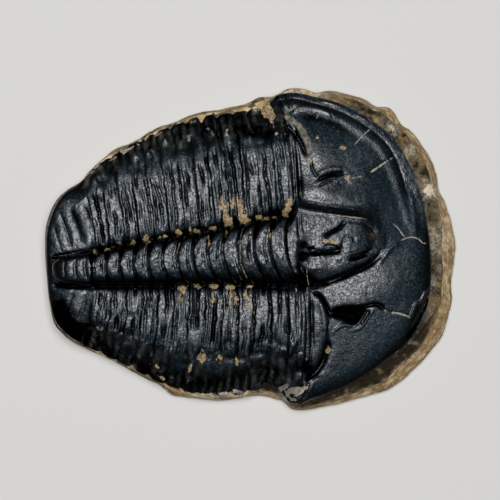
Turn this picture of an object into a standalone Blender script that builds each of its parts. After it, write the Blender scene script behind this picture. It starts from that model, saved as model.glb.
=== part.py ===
"""Trilobite fossil, loose from its shale, on the thin bed of matrix that grew under it.

Lengths are in millimetres until the meshes are made. +X runs from tail to head, +Y to the animal's
left side and +Z up. The origin is in the middle of the footprint, on the surface the stone rests on.
"""

import bmesh
import bpy
import numpy as np
from mathutils import Matrix

MM = 0.001

# Heights above the table
BED_TOP = 2.0
JOINT_GAP = 0.3
UNDERSIDE = BED_TOP + JOINT_GAP
MARGIN_TOP = 2.8
FURROW_TOP_TAIL = 4.2
FURROW_TOP_HEAD = 4.9

# Outline of the black shield, from the tail along the animal's left side to the head and back
SHIELD_OUTLINE = [
    (-20.55, 0.0), (-20.35, 2.7), (-19.05, 5.3), (-17.15, 6.65), (-15.25, 8.6), (-12.05, 10.5),
    (-8.55, 12.25), (-5.05, 13.4), (-0.05, 14.15), (1.6, 14.6), (2.45, 15.3), (3.6, 15.65),
    (6.45, 15.25), (9.45, 14.4), (12.15, 12.9), (14.45, 10.9), (15.8, 8.7), (16.75, 6.4),
    (17.45, 3.7), (17.95, 0.4), (18.05, -3.1), (17.65, -5.8), (16.15, -8.8), (13.45, -11.25),
    (9.95, -13.55), (6.15, -15.1), (4.4, -15.5), (3.6, -15.1), (3.2, -14.65), (-1.05, -14.65),
    (-5.05, -14.7), (-8.55, -13.7), (-12.55, -11.7), (-15.55, -10.25), (-18.05, -9.0),
    (-19.45, -7.7), (-20.05, -5.6), (-20.35, -2.9),
]

# Outline of the matrix bed, the outermost edge of the stone
BED_OUTLINE = [
    (-20.75, 0.0), (-20.7, 2.1), (-20.25, 3.7), (-19.55, 4.9), (-18.65, 6.0), (-17.25, 6.8),
    (-16.45, 7.85), (-15.05, 9.1), (-13.35, 10.35), (-12.25, 10.7), (-10.05, 12.1), (-7.65, 12.95),
    (-6.35, 13.55), (-2.05, 14.4), (-0.25, 14.9), (0.75, 15.4), (2.65, 15.65), (3.75, 16.25),
    (5.25, 16.3), (6.95, 15.9), (7.75, 16.1), (9.95, 15.7), (11.75, 15.1), (12.85, 14.45),
    (13.85, 14.4), (14.55, 13.8), (15.25, 12.7), (16.25, 12.0), (17.15, 10.8), (18.15, 9.4),
    (18.75, 7.9), (19.05, 6.2), (19.85, 4.3), (20.45, 2.3), (20.75, 0.6), (20.6, -1.3),
    (20.35, -3.6), (20.45, -5.1), (20.05, -6.7), (19.45, -8.7), (18.35, -10.2), (16.45, -12.3),
    (14.95, -13.6), (13.75, -14.3), (11.45, -15.0), (7.15, -16.05), (4.95, -16.3), (3.9, -16.05),
    (3.35, -15.5), (2.6, -15.2), (-3.55, -15.35), (-6.55, -15.05), (-8.05, -14.75), (-9.25, -13.8),
    (-11.05, -12.9), (-15.05, -10.8), (-18.85, -8.8), (-19.65, -7.7), (-20.1, -6.2), (-20.55, -3.0),
]

# Share of the bed's brim that is level ledge, by bearing in degrees; the rest is sloping wall
LEDGE_SHARE = [(-180, 0.3), (-90, 0.25), (-70, 0.35), (-45, 0.35), (-15, 0.45), (0, 0.47),
               (15, 0.7), (45, 0.65), (75, 0.7), (95, 0.3), (180, 0.3)]
BED_POINTS = 112

# The axial lobe: stations along X with the Y of its left and right furrows
AXIS_X = [-20.0, -16.2, -10.0, 0.0, 4.5, 8.0, 10.5, 11.8, 12.6, 13.0]
AXIS_LEFT = [-0.9, -0.3, 0.95, 2.9, 3.9, 3.3, 3.1, 2.55, 1.6, 0.6]
AXIS_RIGHT = [-3.5, -3.7, -3.7, -3.65, -3.8, -3.35, -2.2, -1.5, -0.7, 0.0]
AXIS_SHARE = 0.22
AXIS_TAIL_X = -19.8
GLABELLA_TIP_X = 13.0

# The 13 thoracic segments, between the tail shield's front row and the head shield's back row.
# A row's columns run from -1 at the right margin to 1 at the left, and its rings bow backwards.
SEGMENTS = 13
PITCH_TAIL = 1.43
PITCH_HEAD = 1.59
ROW_COLUMNS = [-1.0, -0.8, -0.5, -0.22, 0.22, 0.5, 0.8, 1.0]
TAIL_ROW_X = [-16.6, -16.1, -15.6, -15.35, -15.4, -15.75, -16.4, -16.9]
HEAD_ROW_X = [4.9, 5.1, 5.4, 5.25, 4.3, 3.95, 3.4, 2.95]
RING_BOW_TAIL = 0.2
RING_BOW_HEAD = 1.3
GENAL_SWEEP_RIGHT = 1.25
GENAL_SWEEP_LEFT = 0.55

# Profile of the head shield from the middle of its back edge (0) to its rim (1)
HEAD_RADII = [0.0, 0.3, 0.55, 0.75, 0.86, 0.895, 0.93, 0.965, 1.0]
HEAD_HEIGHTS = [5.2, 5.1, 4.7, 4.05, 3.5, 3.35, 2.95, 3.15, MARGIN_TOP]


def smooth_curve(x, xs, ys):
    """Cubic curve through the points (xs, ys), level beyond its ends."""
    xs, ys = np.asarray(xs, float), np.asarray(ys, float)
    slope = np.gradient(ys, xs)
    x = np.clip(x, xs[0], xs[-1])
    i = np.clip(np.searchsorted(xs, x, side="right") - 1, 0, len(xs) - 2)
    span = xs[i + 1] - xs[i]
    u = (x - xs[i]) / span
    start = ys[i] * (1 + 2 * u) * (1 - u) ** 2 + slope[i] * span * u * (1 - u) ** 2
    end = ys[i + 1] * u * u * (3 - 2 * u) + slope[i + 1] * span * u * u * (u - 1)
    return start + end


def hump(distance, width):
    """A rounded bump of height 1 that has faded at twice its width."""
    return np.exp(-((distance / width) ** 2))


def closed_outline(points, count=2400):
    """Bearing and radius about the origin of a smooth closed line through the points."""
    x, y = np.array(points).T
    bearing, radius = np.arctan2(y, x), np.hypot(x, y)
    order = np.argsort(bearing)
    bearing, radius = bearing[order], radius[order]
    turn = 2 * np.pi
    bearing = np.concatenate([bearing[-3:] - turn, bearing, bearing[:3] + turn])
    radius = np.concatenate([radius[-3:], radius, radius[:3]])
    at = np.linspace(-np.pi, np.pi, count)
    return at, smooth_curve(at, bearing, radius)


SHIELD_BEARING, SHIELD_RADIUS = closed_outline(SHIELD_OUTLINE)
SHIELD_X = SHIELD_RADIUS * np.cos(SHIELD_BEARING)
SHIELD_Y = SHIELD_RADIUS * np.sin(SHIELD_BEARING)


def shield_edge(x, left):
    """Y of the shield's left or right margin at X."""
    half = SHIELD_Y > 0 if left else SHIELD_Y < 0
    order = np.argsort(SHIELD_X[half])
    return np.interp(x, SHIELD_X[half][order], SHIELD_Y[half][order])


def row_place(station, column):
    """X and Y of a point of the thorax, at a station counted in segments from the tail shield."""
    walked = PITCH_TAIL * station + (PITCH_HEAD - PITCH_TAIL) * station**2 / (2 * SEGMENTS)
    share = walked / (SEGMENTS * (PITCH_TAIL + PITCH_HEAD) / 2)
    tail = smooth_curve(column, ROW_COLUMNS, TAIL_ROW_X)
    head = smooth_curve(column, ROW_COLUMNS, HEAD_ROW_X)
    bow = RING_BOW_TAIL + (RING_BOW_HEAD - RING_BOW_TAIL) * share**0.5
    bow = bow * np.clip(1 - (column / AXIS_SHARE) ** 2, 0, 1)
    sweep = np.where(column > 0, GENAL_SWEEP_LEFT, GENAL_SWEEP_RIGHT)
    sweep = sweep * np.clip(np.abs(column) * 5 - 4, 0, 1) ** 2 * share**14
    x = tail + (head - tail) * share - bow - sweep
    left, right = smooth_curve(x, AXIS_X, AXIS_LEFT), smooth_curve(x, AXIS_X, AXIS_RIGHT)
    in_axis = (column + AXIS_SHARE) / (2 * AXIS_SHARE)
    out = np.clip((np.abs(column) - AXIS_SHARE) / (1 - AXIS_SHARE), 0, 1)
    reach = out * (1 - tip_gap(station) * np.clip(out * 3 - 2, 0, 1))
    y = right + (left - right) * in_axis
    y = np.where(column > AXIS_SHARE, left + (shield_edge(x, True) - left) * reach, y)
    y = np.where(column < -AXIS_SHARE, right + (shield_edge(x, False) - right) * reach, y)
    return x, y


def tip_gap(station):
    """How far the margin draws in between two pleural tips, as a share of the pleura."""
    inside = (station > 0.1) & (station < SEGMENTS - 0.1)
    return np.where(inside, 0.05 * np.cos(np.pi * station) ** 4, 0)


def cap_place(depth, column, station, front):
    """X and Y of a point of the head shield or tail shield: depth runs from 0 at the row where it
    meets the thorax to 1 at its far rim, and front is 1 for the head and -1 for the tail."""
    row_x, row_y = row_place(0 * depth + station, column)
    (cx,), (cy,) = row_place(np.array([float(station)]), np.array([0.0]))
    end_x, end_y = row_place(np.full(2, float(station)), np.array([-1.0, 1.0]))
    rays = np.arctan2(SHIELD_Y - cy, (SHIELD_X - cx) * front)
    reach = np.hypot(SHIELD_X - cx, SHIELD_Y - cy)
    order = np.argsort(rays)
    start = np.arctan2(end_y - cy, (end_x - cx) * front)
    side = np.where(column < 0, start[0], start[1])
    wide = np.abs(column)
    radius = np.maximum(depth, wide)
    safe = np.maximum(radius, 1e-9)
    turn = np.where(depth <= wide, 0.5 * depth / safe, 1 - 0.5 * wide / safe)
    bearing = side * (1 - turn)
    far = radius * np.interp(bearing, rays[order], reach[order], period=2 * np.pi)
    near = wide * np.interp(side, rays[order], reach[order], period=2 * np.pi)
    fade = (1 - depth) ** 2
    x = cx + front * far * np.cos(bearing) + (row_x - cx - front * near * np.cos(side)) * fade
    y = cy + far * np.sin(bearing) + (row_y - cy - near * np.sin(side)) * fade
    return x, y


def across_axis(x, y):
    """How far a point is across the axial lobe: 0 on its middle line and 1 in its furrows."""
    left, right = smooth_curve(x, AXIS_X, AXIS_LEFT), smooth_curve(x, AXIS_X, AXIS_RIGHT)
    return np.abs(y - (left + right) / 2) / ((left - right) / 2)


def axis_height(x, y, crest):
    """Height of the axial lobe above its furrows."""
    off = across_axis(x, y)
    tail_end = np.clip((AXIS_TAIL_X + 1.2 - x) / 1.2, 0, 2)
    head_end = np.clip((x - GLABELLA_TIP_X + 0.9) / 0.9, 0, 2)
    inside = np.clip(1 - off**2 - tail_end**2 - head_end**2, 0, 1)
    return crest * inside**0.75


def thorax_height(station, column, x, y):
    """Height of the thorax, with its rings, pleural bands and turned-down tips."""
    along = station / SEGMENTS
    phase = station - np.floor(station)
    to_joint = np.minimum(phase, 1 - phase)
    base = FURROW_TOP_TAIL + (FURROW_TOP_HEAD - FURROW_TOP_TAIL) * along
    out = np.clip((np.abs(column) - AXIS_SHARE) / (1 - AXIS_SHARE), 0, 1)
    fall = np.where(column > 0, out**3.4, out**2.8)
    pleura = MARGIN_TOP + (base + 0.45 - MARGIN_TOP) * (1 - fall)
    band = 0.3 * hump(to_joint, 0.12) + 0.16 * hump(phase - 0.5, 0.12)
    tip_drop = 0.25 * hump(to_joint, 0.2) * np.clip(out * 4 - 2.6, 0, 1)
    pleura = pleura - band * (1 - 0.6 * out) - tip_drop - 0.4 * hump(out, 0.05)
    crest = 1.35 + 0.75 * along
    ring = 0.5 * hump(to_joint, 0.16) - 0.12 * (0.5 - phase)
    lobe = base + 0.05 + axis_height(x, y, crest) - ring
    return np.where(np.abs(column) < AXIS_SHARE, lobe, np.maximum(pleura, UNDERSIDE + 0.15))


def tail_height(depth, column, x, y):
    """Height of the tail shield: a smooth dome with five faint ribs, and the end of the axis."""
    radius = np.maximum(depth, np.abs(column))
    base = MARGIN_TOP + (FURROW_TOP_TAIL + 0.45 - MARGIN_TOP) * (1 - radius**2.6)
    bearing = np.arctan2(y + 2.3, -x - 15.0)
    ribs = 0.12 * np.cos(bearing * 14) * np.clip(radius * 4 - 1, 0, 1) * np.clip(4 - radius * 4.4, 0, 1)
    lobe = axis_height(x, y, 0.95)
    furrow = 0.2 * hump(across_axis(x, y) - 1.1, 0.3) * np.clip((0.95 - radius) * 8, 0, 1)
    rings = 0.12 * np.cos(2 * np.pi * (x + 16.25) / 0.95) * np.clip(lobe, 0, 1)
    return base + ribs + lobe - furrow - rings - 0.25 * hump(radius - 0.93, 0.04)


# Landmarks of the head shield: X, Y, half length, half width, turn in degrees, height
HEAD_LUMPS = [
    (7.1, 2.2, 2.6, 1.2, 0, 0.25),
    (5.4, -8.3, 1.0, 4.0, 4, 0.45),
    (4.5, 9.0, 0.9, 4.5, 6, 0.4),
    (8.2, 7.8, 1.9, 0.7, 12, 0.55),
    (10.0, -8.4, 2.0, 0.6, 20, 0.45),
    (9.0, -4.9, 3.0, 1.6, 15, 0.35),
    (10.4, 0.2, 1.2, 0.9, 10, 0.2),
]
HEAD_PITS = [
    (9.8, -6.7, 1.7, 1.0, 5, 0.6),
    (8.1, 7.2, 1.5, 0.45, 10, 0.35),
    (7.4, -0.5, 1.9, 0.55, 8, 0.6),
    (10.6, -1.0, 1.3, 0.45, 15, 0.35),
    (5.9, 10.6, 0.5, 2.6, -20, 0.35),
    (7.2, -11.5, 0.6, 2.4, 20, 0.4),
    (5.4, 0.0, 0.4, 3.6, 0, 0.35),
]


def oval(x, y, shape):
    """1 at the middle of an oval landmark, fading to 0 around it."""
    at_x, at_y, long, wide, turn, _ = shape
    angle = np.radians(turn)
    u = (x - at_x) * np.cos(angle) + (y - at_y) * np.sin(angle)
    v = (y - at_y) * np.cos(angle) - (x - at_x) * np.sin(angle)
    return np.exp(-((u / long) ** 2) - (v / wide) ** 2)


def head_height(depth, column, x, y):
    """Height of the head shield, with its glabella, eyes, sutures and raised rim."""
    radius = np.maximum(depth, np.abs(column))
    base = smooth_curve(radius, HEAD_RADII, HEAD_HEIGHTS)
    height = base + axis_height(x, y, 1.75)
    outside_axis = np.clip(np.abs(column) * 8 - 1, 0, 1)
    height = height - 0.3 * hump(x - 6.15 - 0.08 * y, 0.4) * outside_axis * (radius < 0.9)
    keep = np.clip((0.92 - radius) / 0.06, 0, 1)
    for lump in HEAD_LUMPS:
        height = height + lump[5] * oval(x, y, lump) * keep
    for pit in HEAD_PITS:
        height = height - pit[5] * oval(x, y, pit) * keep
    return height


def shield_surface(station, column):
    """X, Y and Z of a point of the shield's upper face. Stations run from -1 at the tail's rim,
    0 to SEGMENTS along the thorax, to SEGMENTS + 1 at the front of the head."""
    x, y = row_place(np.clip(station, 0, SEGMENTS), column)
    z = thorax_height(np.clip(station, 0, SEGMENTS), column, x, y)
    tail, head = station < 0, station >= SEGMENTS
    x[tail], y[tail] = cap_place(-station[tail], column[tail], 0, -1)
    z[tail] = tail_height(-station[tail], column[tail], x[tail], y[tail])
    depth = station[head] - SEGMENTS
    x[head], y[head] = cap_place(depth, column[head], SEGMENTS, 1)
    z[head] = head_height(depth, column[head], x[head], y[head])
    return x, y, z


def shield_rows():
    """Stations of the grid's rows: close together at the rims, four to a thoracic segment."""
    rim = [0.86, 0.895, 0.93, 0.965, 1.0]
    tail = [-d for d in reversed(rim)] + [-0.76, -0.65, -0.54, -0.43, -0.32, -0.21, -0.1]
    thorax = [k + part for k in range(SEGMENTS) for part in (0.0, 0.22, 0.5, 0.8)]
    head = [0.0, 0.035, 0.08, 0.13] + [0.18 + 0.048 * k for k in range(14)] + rim
    return np.array(tail + thorax + [SEGMENTS + d for d in head])


def shield_columns():
    """Columns of the grid, the same on both sides of the axis."""
    half = [0.05, 0.1, 0.15, 0.19, 0.22, 0.25, 0.3, 0.355, 0.41, 0.465, 0.52, 0.575, 0.635, 0.695]
    half += [0.755, 0.81, 0.86, 0.895, 0.93, 0.965, 1.0]
    return np.array([-c for c in reversed(half)] + [0.0] + half)


def stone_material(name, colour, roughness):
    material = bpy.data.materials.new(name)
    material.use_nodes = True
    shader = material.node_tree.nodes["Principled BSDF"]
    shader.inputs["Base Color"].default_value = (*colour, 1.0)
    shader.inputs["Roughness"].default_value = roughness
    return material


def add_object(name, bm, material):
    bmesh.ops.recalc_face_normals(bm, faces=bm.faces)
    mesh = bpy.data.meshes.new(name)
    bm.to_mesh(mesh)
    bm.free()
    mesh.materials.append(material)
    mesh.shade_smooth()
    mesh.set_sharp_from_angle(angle=np.radians(35))
    obj = bpy.data.objects.new(name, mesh)
    bpy.context.scene.collection.objects.link(obj)
    return obj


def make_shield():
    """The black shield: a grid shaped to the relief, with walls down to a flat underside."""
    rows, columns = shield_rows(), shield_columns()
    bm = bmesh.new()
    bmesh.ops.create_grid(bm, x_segments=len(rows) - 1, y_segments=len(columns) - 1, size=1.0)
    bm.verts.ensure_lookup_table()
    place = np.array([vert.co[:2] for vert in bm.verts])
    row = np.rint((place[:, 0] + 1) / 2 * (len(rows) - 1)).astype(int)
    column = np.rint((place[:, 1] + 1) / 2 * (len(columns) - 1)).astype(int)
    x, y, z = shield_surface(rows[row], columns[column])
    for vert, point in zip(bm.verts, np.stack([x, y, z], axis=1)):
        vert.co = point * MM
    rim = [edge for edge in bm.edges if edge.is_boundary]
    wall = bmesh.ops.extrude_edge_only(bm, edges=rim)["geom"]
    for vert in wall:
        if isinstance(vert, bmesh.types.BMVert):
            vert.co.z = UNDERSIDE * MM
    bmesh.ops.holes_fill(bm, edges=[edge for edge in bm.edges if edge.is_boundary])
    return add_object("trilobite", bm, stone_material("black_calcite", (0.018, 0.026, 0.032), 0.38))


def bed_rings():
    """Radius and height of each ring of the bed, from its top face outwards and down to the table."""
    bearing = np.linspace(-np.pi, np.pi, BED_POINTS, endpoint=False)
    shield = np.interp(bearing, SHIELD_BEARING, SHIELD_RADIUS)
    brim = np.interp(bearing, *closed_outline(BED_OUTLINE))
    brim = np.maximum(brim, shield + 0.12)
    ledge = shield + (brim - shield) * np.interp(np.degrees(bearing), *np.array(LEDGE_SHARE).T)
    lumpy = 0.08 * np.sin(bearing * 17) + 0.06 * np.sin(bearing * 29 + 1)
    return bearing, [
        (shield - 0.9, BED_TOP + 0 * bearing),
        (shield + 0.02, BED_TOP - 0.02 + 0 * bearing),
        (ledge, 1.72 + lumpy),
        (brim - 0.25 * (brim - ledge), 1.1 + lumpy),
        (brim, 0.65 + lumpy),
        (brim - 0.45, 0 * bearing),
    ]


def make_bed():
    """The matrix bed: rings from its flat top out over the ledge and down the wall."""
    bearing, rings = bed_rings()
    bm = bmesh.new()
    loop = bmesh.ops.create_circle(bm, segments=BED_POINTS, radius=1.0)["verts"]
    edges = list(bm.edges)
    for number, (radius, height) in enumerate(rings):
        if number:
            grown = bmesh.ops.extrude_edge_only(bm, edges=edges)["geom"]
            edges = [item for item in grown if isinstance(item, bmesh.types.BMEdge)]
            edges = [edge for edge in edges if edge.is_boundary]
            loop = list({vert for edge in edges for vert in edge.verts})
        for vert in loop:
            turn = np.arctan2(vert.co.y, vert.co.x)
            at = int(np.rint((turn + np.pi) / (2 * np.pi) * BED_POINTS)) % BED_POINTS
            vert.co = (
                radius[at] * np.cos(bearing[at]) * MM,
                radius[at] * np.sin(bearing[at]) * MM,
                height[at] * MM,
            )
    bmesh.ops.holes_fill(bm, edges=[edge for edge in bm.edges if edge.is_boundary])
    return add_object("matrix", bm, stone_material("cream_matrix", (0.40, 0.31, 0.20), 0.75))


def centre_footprint(objects):
    """Move the objects together so that the origin is in the middle of their footprint."""
    points = np.array([vert.co for obj in objects for vert in obj.data.vertices])
    middle = (points.min(axis=0) + points.max(axis=0)) / 2
    for obj in objects:
        obj.data.transform(Matrix.Translation((-middle[0], -middle[1], 0)))


def main():
    for old in list(bpy.data.objects):
        bpy.data.objects.remove(old)
    centre_footprint([make_shield(), make_bed()])


main()
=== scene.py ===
"""Looks of the trilobite fossil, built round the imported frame.

Lengths are in millimetres until a mesh is made. +X runs from tail to head, +Y to the animal's left
side and +Z up, as in the frame.
"""

import bpy
import numpy as np
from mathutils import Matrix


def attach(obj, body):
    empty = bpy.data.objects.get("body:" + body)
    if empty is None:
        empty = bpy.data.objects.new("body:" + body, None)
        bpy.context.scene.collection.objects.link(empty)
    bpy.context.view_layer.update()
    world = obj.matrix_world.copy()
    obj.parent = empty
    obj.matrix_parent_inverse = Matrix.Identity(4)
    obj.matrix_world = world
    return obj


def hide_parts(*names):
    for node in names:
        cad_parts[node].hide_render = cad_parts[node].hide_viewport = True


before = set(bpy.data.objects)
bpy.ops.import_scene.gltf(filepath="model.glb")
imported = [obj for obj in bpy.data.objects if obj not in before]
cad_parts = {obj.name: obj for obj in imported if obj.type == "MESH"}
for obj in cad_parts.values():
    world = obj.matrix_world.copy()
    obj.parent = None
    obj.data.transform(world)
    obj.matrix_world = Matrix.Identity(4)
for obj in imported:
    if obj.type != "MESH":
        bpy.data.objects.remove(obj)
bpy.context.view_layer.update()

MM = 0.001

# The CAD part was moved by this much to centre its footprint
CENTRING = (0.0146, -0.0225, 0.0)

# The relief is kept below the top of the CAD part
CAD_TOP = 6.98

# Rows and columns of each piece's grid of points, and the share of them that is used
TAIL_GRID = (130, 220)
THORAX_GRID = (313, 296)
HEAD_GRID = (270, 330)
BED_RINGS = 64
UNDERSIDE_RINGS = 26
BED_BEARINGS = 1000
DETAIL = 1.0

# Edges of the meshes sharper than this many degrees stay sharp
SHARP_ANGLE = 70

# Heights above the table: the shield's flat underside, its margin, and the furrows beside its axis
UNDERSIDE = 2.12
MARGIN_TOP = 2.8
FURROW_TOP_TAIL = 4.2
FURROW_TOP_HEAD = 4.9

# Outline of the black shield, from the tail along the animal's left side to the head and back
SHIELD_OUTLINE = [
    (-20.55, 0.0), (-20.35, 2.7), (-19.05, 5.3), (-17.15, 6.65), (-15.25, 8.6), (-12.05, 10.5),
    (-8.55, 12.25), (-5.05, 13.4), (-0.05, 14.15), (1.6, 14.6), (2.45, 15.3), (3.6, 15.65), (6.45, 15.25),
    (9.45, 14.4), (12.15, 12.9), (14.45, 10.9), (15.8, 8.7), (16.75, 6.4), (17.45, 3.7), (17.95, 0.4),
    (18.05, -3.1), (17.65, -5.8), (16.15, -8.8), (13.45, -11.25), (9.95, -13.55), (6.15, -15.1),
    (4.4, -15.5), (3.6, -15.1), (3.2, -14.65), (-1.05, -14.65), (-5.05, -14.7), (-8.55, -13.7),
    (-12.55, -11.7), (-15.55, -10.25), (-18.05, -9.0), (-19.45, -7.7), (-20.05, -5.6), (-20.35, -2.9),
]

# Outline of the matrix bed, the outermost edge of the stone
BED_OUTLINE = [
    (-20.75, 0.0), (-20.7, 2.1), (-20.25, 3.7), (-19.55, 4.9), (-18.65, 6.0), (-17.25, 6.8), (-16.45, 7.85),
    (-15.05, 9.1), (-13.35, 10.35), (-12.25, 10.7), (-10.05, 12.1), (-7.65, 12.95), (-6.35, 13.55),
    (-2.05, 14.4), (-0.25, 14.9), (0.75, 15.4), (2.65, 15.65), (3.75, 16.25), (5.25, 16.3), (6.95, 15.9),
    (7.75, 16.1), (9.95, 15.7), (11.75, 15.1), (12.85, 14.45), (13.85, 14.4), (14.55, 13.8), (15.25, 12.7),
    (16.25, 12.0), (17.15, 10.8), (18.15, 9.4), (18.75, 7.9), (19.05, 6.2), (19.85, 4.3), (20.45, 2.3),
    (20.75, 0.6), (20.6, -1.3), (20.35, -3.6), (20.45, -5.1), (20.05, -6.7), (19.45, -8.7), (18.35, -10.2),
    (16.45, -12.3), (14.95, -13.6), (13.75, -14.3), (11.45, -15.0), (7.15, -16.05), (4.95, -16.3),
    (3.9, -16.05), (3.35, -15.5), (2.6, -15.2), (-3.55, -15.35), (-6.55, -15.05), (-8.05, -14.75),
    (-9.25, -13.8), (-11.05, -12.9), (-15.05, -10.8), (-18.85, -8.8), (-19.65, -7.7), (-20.1, -6.2),
    (-20.55, -3.0),
]

# Share of the way from the shield to the brim that the ledge takes: bearing in degrees, share
LEDGE_SHARE = [
    (-180, 0.3), (-88, 0.3), (-74, 0.5), (-60, 0.58), (-42, 0.55), (-25, 0.5), (0, 0.47), (15, 0.7),
    (45, 0.65), (75, 0.7), (95, 0.3), (180, 0.3),
]

# The axial lobe: stations along X with the Y of its left and right furrows
AXIS_X = [-20.0, -16.2, -10.0, 0.0, 4.5, 8.0, 10.5, 11.8, 12.6, 13.0]
AXIS_LEFT = [-0.9, -0.3, 0.95, 2.9, 3.9, 3.3, 3.1, 2.55, 1.6, 0.6]
AXIS_RIGHT = [-3.5, -3.7, -3.7, -3.65, -3.8, -3.35, -2.2, -1.5, -0.7, 0.0]

# Half width of the axial lobe in a row's columns, and X of its end at the tail
AXIS_SHARE = 0.22
AXIS_TAIL_X = -19.8

# The 13 thoracic segments. A row's columns run from -1 at the right margin to 1 at the left.
SEGMENTS = 13
PITCH_TAIL = 1.43
PITCH_HEAD = 1.59
ROW_COLUMNS = [-1.0, -0.8, -0.5, -0.22, 0.22, 0.5, 0.8, 1.0]
TAIL_ROW_X = [-16.6, -16.1, -15.6, -15.35, -15.4, -15.75, -16.4, -16.9]
HEAD_ROW_X = [4.9, 5.1, 5.4, 5.25, 4.3, 3.95, 3.4, 2.95]
RING_BOW_TAIL = 0.2
RING_BOW_HEAD = 1.3
GENAL_SWEEP_RIGHT = 1.25
GENAL_SWEEP_LEFT = 0.55

# How deep into the tail and head shield their relief still runs into the thorax
TAIL_SEAM = 0.06
HEAD_SEAM = 0.014

# Profile of the head shield from the middle of its back edge (0) to its rim (1), with the heights on
# its left and on its right
HEAD_RADII = [0.0, 0.3, 0.55, 0.7, 0.8, 0.865, 0.882, 0.9, 0.925, 0.948, 0.963, 0.975, 0.987, 1.0]
LEFT_HEIGHTS = [5.2, 5.1, 4.68, 4.17, 3.77, 3.5, 3.46, 3.41, 3.26, 3.11, 3.0, 2.91, 2.83, 2.75]
RIGHT_HEIGHTS = [5.2, 5.1, 4.78, 4.44, 4.13, 3.88, 3.8, 3.71, 3.56, 3.4, 3.26, 3.12, 2.96, 2.78]

# The ridge that bounds the glabella on its left, and the height of the glabella above the cheeks
RIDGE_X = [4.5, 6.2, 8.0, 9.8, 11.8, 12.6, 13.2]
RIDGE_Y = [4.2, 3.75, 3.5, 3.25, 2.9, 2.2, 1.0]
CROWN_X = [4.5, 5.6, 7.5, 9.5, 11.0, 12.3, 13.6]
CROWN_HEIGHT = [1.35, 1.1, 0.97, 0.87, 0.6, 0.24, 0.0]

# Grooves of the head shield: points along each, half width, depth
HEAD_GROOVES = [
    ([(4.85, 7.3), (4.9, 6.3), (4.85, 5.1)], 0.16, 0.16),
    ([(3.85, 10.6), (3.85, 8.9), (3.95, 7.1), (4.35, 5.7)], 0.17, 0.2),
    ([(3.25, 12.5), (4.05, 11.9), (4.75, 11.0), (5.25, 10.0), (5.55, 9.2)], 0.2, 0.36),
    ([(5.95, 8.8), (6.15, 7.9), (6.65, 7.1)], 0.1, 0.16),
    ([(6.55, 6.9), (7.45, 7.2), (8.25, 7.45), (9.45, 7.6)], 0.11, 0.36),
    ([(6.75, 6.3), (7.55, 6.7), (8.35, 6.9)], 0.1, 0.18),
    ([(8.65, 6.5), (9.25, 6.6), (9.75, 6.9)], 0.2, 0.07),
    ([(11.85, 7.6), (12.75, 8.2), (13.45, 8.7), (14.25, 9.2)], 0.13, 0.14),
    ([(7.85, 14.2), (7.95, 13.7), (8.15, 13.2)], 0.07, 0.1),
    ([(5.05, 4.6), (6.75, 4.4), (8.95, 4.1), (11.55, 3.6)], 0.3, 0.04),
    ([(9.45, 2.8), (10.75, 2.7), (11.85, 2.2), (12.55, 1.4)], 0.2, 0.1),
    ([(7.25, 1.1), (7.85, 1.6), (8.65, 2.0), (9.15, 2.5), (9.55, 2.9)], 0.2, 0.22),
    ([(5.75, -0.4), (6.75, -0.3), (7.85, -0.3), (9.05, 0.0)], 0.22, 0.3),
    ([(9.25, -0.1), (9.15, 0.8), (9.55, 1.3), (10.15, 1.2), (10.35, 0.6)], 0.16, 0.09),
    ([(9.65, -1.0), (10.45, -0.95), (11.25, -0.6), (12.05, -0.1)], 0.13, 0.24),
    ([(8.55, -1.0), (8.85, -1.3), (9.15, -0.9)], 0.07, 0.1),
    ([(6.35, -3.8), (7.75, -3.2), (9.15, -2.7), (10.45, -2.1), (11.75, -1.5), (12.75, -0.7)], 0.22, 0.42),
    ([(4.65, -1.3), (5.25, -2.3), (6.05, -3.2), (6.75, -3.9)], 0.45, 0.5),
    ([(6.15, -4.2), (6.75, -4.5), (7.25, -5.1), (7.65, -5.9), (8.05, -6.7)], 0.16, 0.36),
    ([(6.05, -4.9), (6.05, -6.6), (6.15, -8.6), (6.25, -10.1)], 0.25, 0.13),
    ([(10.75, -5.8), (11.45, -5.7), (12.15, -5.5), (12.85, -5.6), (13.35, -6.1)], 0.14, 0.4),
    ([(11.75, -6.1), (11.35, -6.8), (10.95, -7.4)], 0.14, 0.15),
    ([(7.75, -8.9), (7.55, -10.1), (7.15, -11.3), (6.45, -12.3), (5.25, -13.3)], 0.3, 0.5),
    ([(7.85, -7.1), (7.65, -8.3), (7.65, -9.4)], 0.08, 0.12),
    ([(17.95, -4.1), (17.45, -5.4), (16.85, -6.7), (16.05, -8.1)], 0.3, 0.3),
    ([(14.05, 2.6), (14.65, 2.1), (15.15, 1.4), (15.35, 1.1)], 0.05, 0.05),
    ([(14.75, 0.8), (15.95, 1.2), (16.75, 1.0), (17.25, 0.6), (18.05, 0.7)], 0.05, 0.06),
    ([(11.75, -3.5), (11.55, -4.5), (11.95, -5.4)], 0.25, 0.05),
    ([(4.65, 3.5), (4.75, 2.3), (4.85, 1.1)], 0.12, 0.14),
    ([(5.15, 3.5), (5.15, 2.7), (5.25, 1.7)], 0.08, 0.1),
    ([(10.25, 10.3), (11.15, 11.3), (12.05, 12.1)], 0.05, 0.04),
    ([(13.75, -6.2), (14.75, -6.4), (15.95, -6.8)], 0.1, 0.1),
    ([(2.55, 2.7), (2.35, 1.8), (2.55, 0.9), (3.35, -0.1), (3.45, -1.3), (3.85, -2.2)], 0.14, 0.2),
    ([(3.25, 1.9), (3.65, 2.5), (4.15, 3.1), (4.45, 4.0)], 0.14, 0.2),
    ([(5.65, 12.9), (6.15, 13.5), (6.75, 13.8)], 0.06, 0.06),
]

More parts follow.
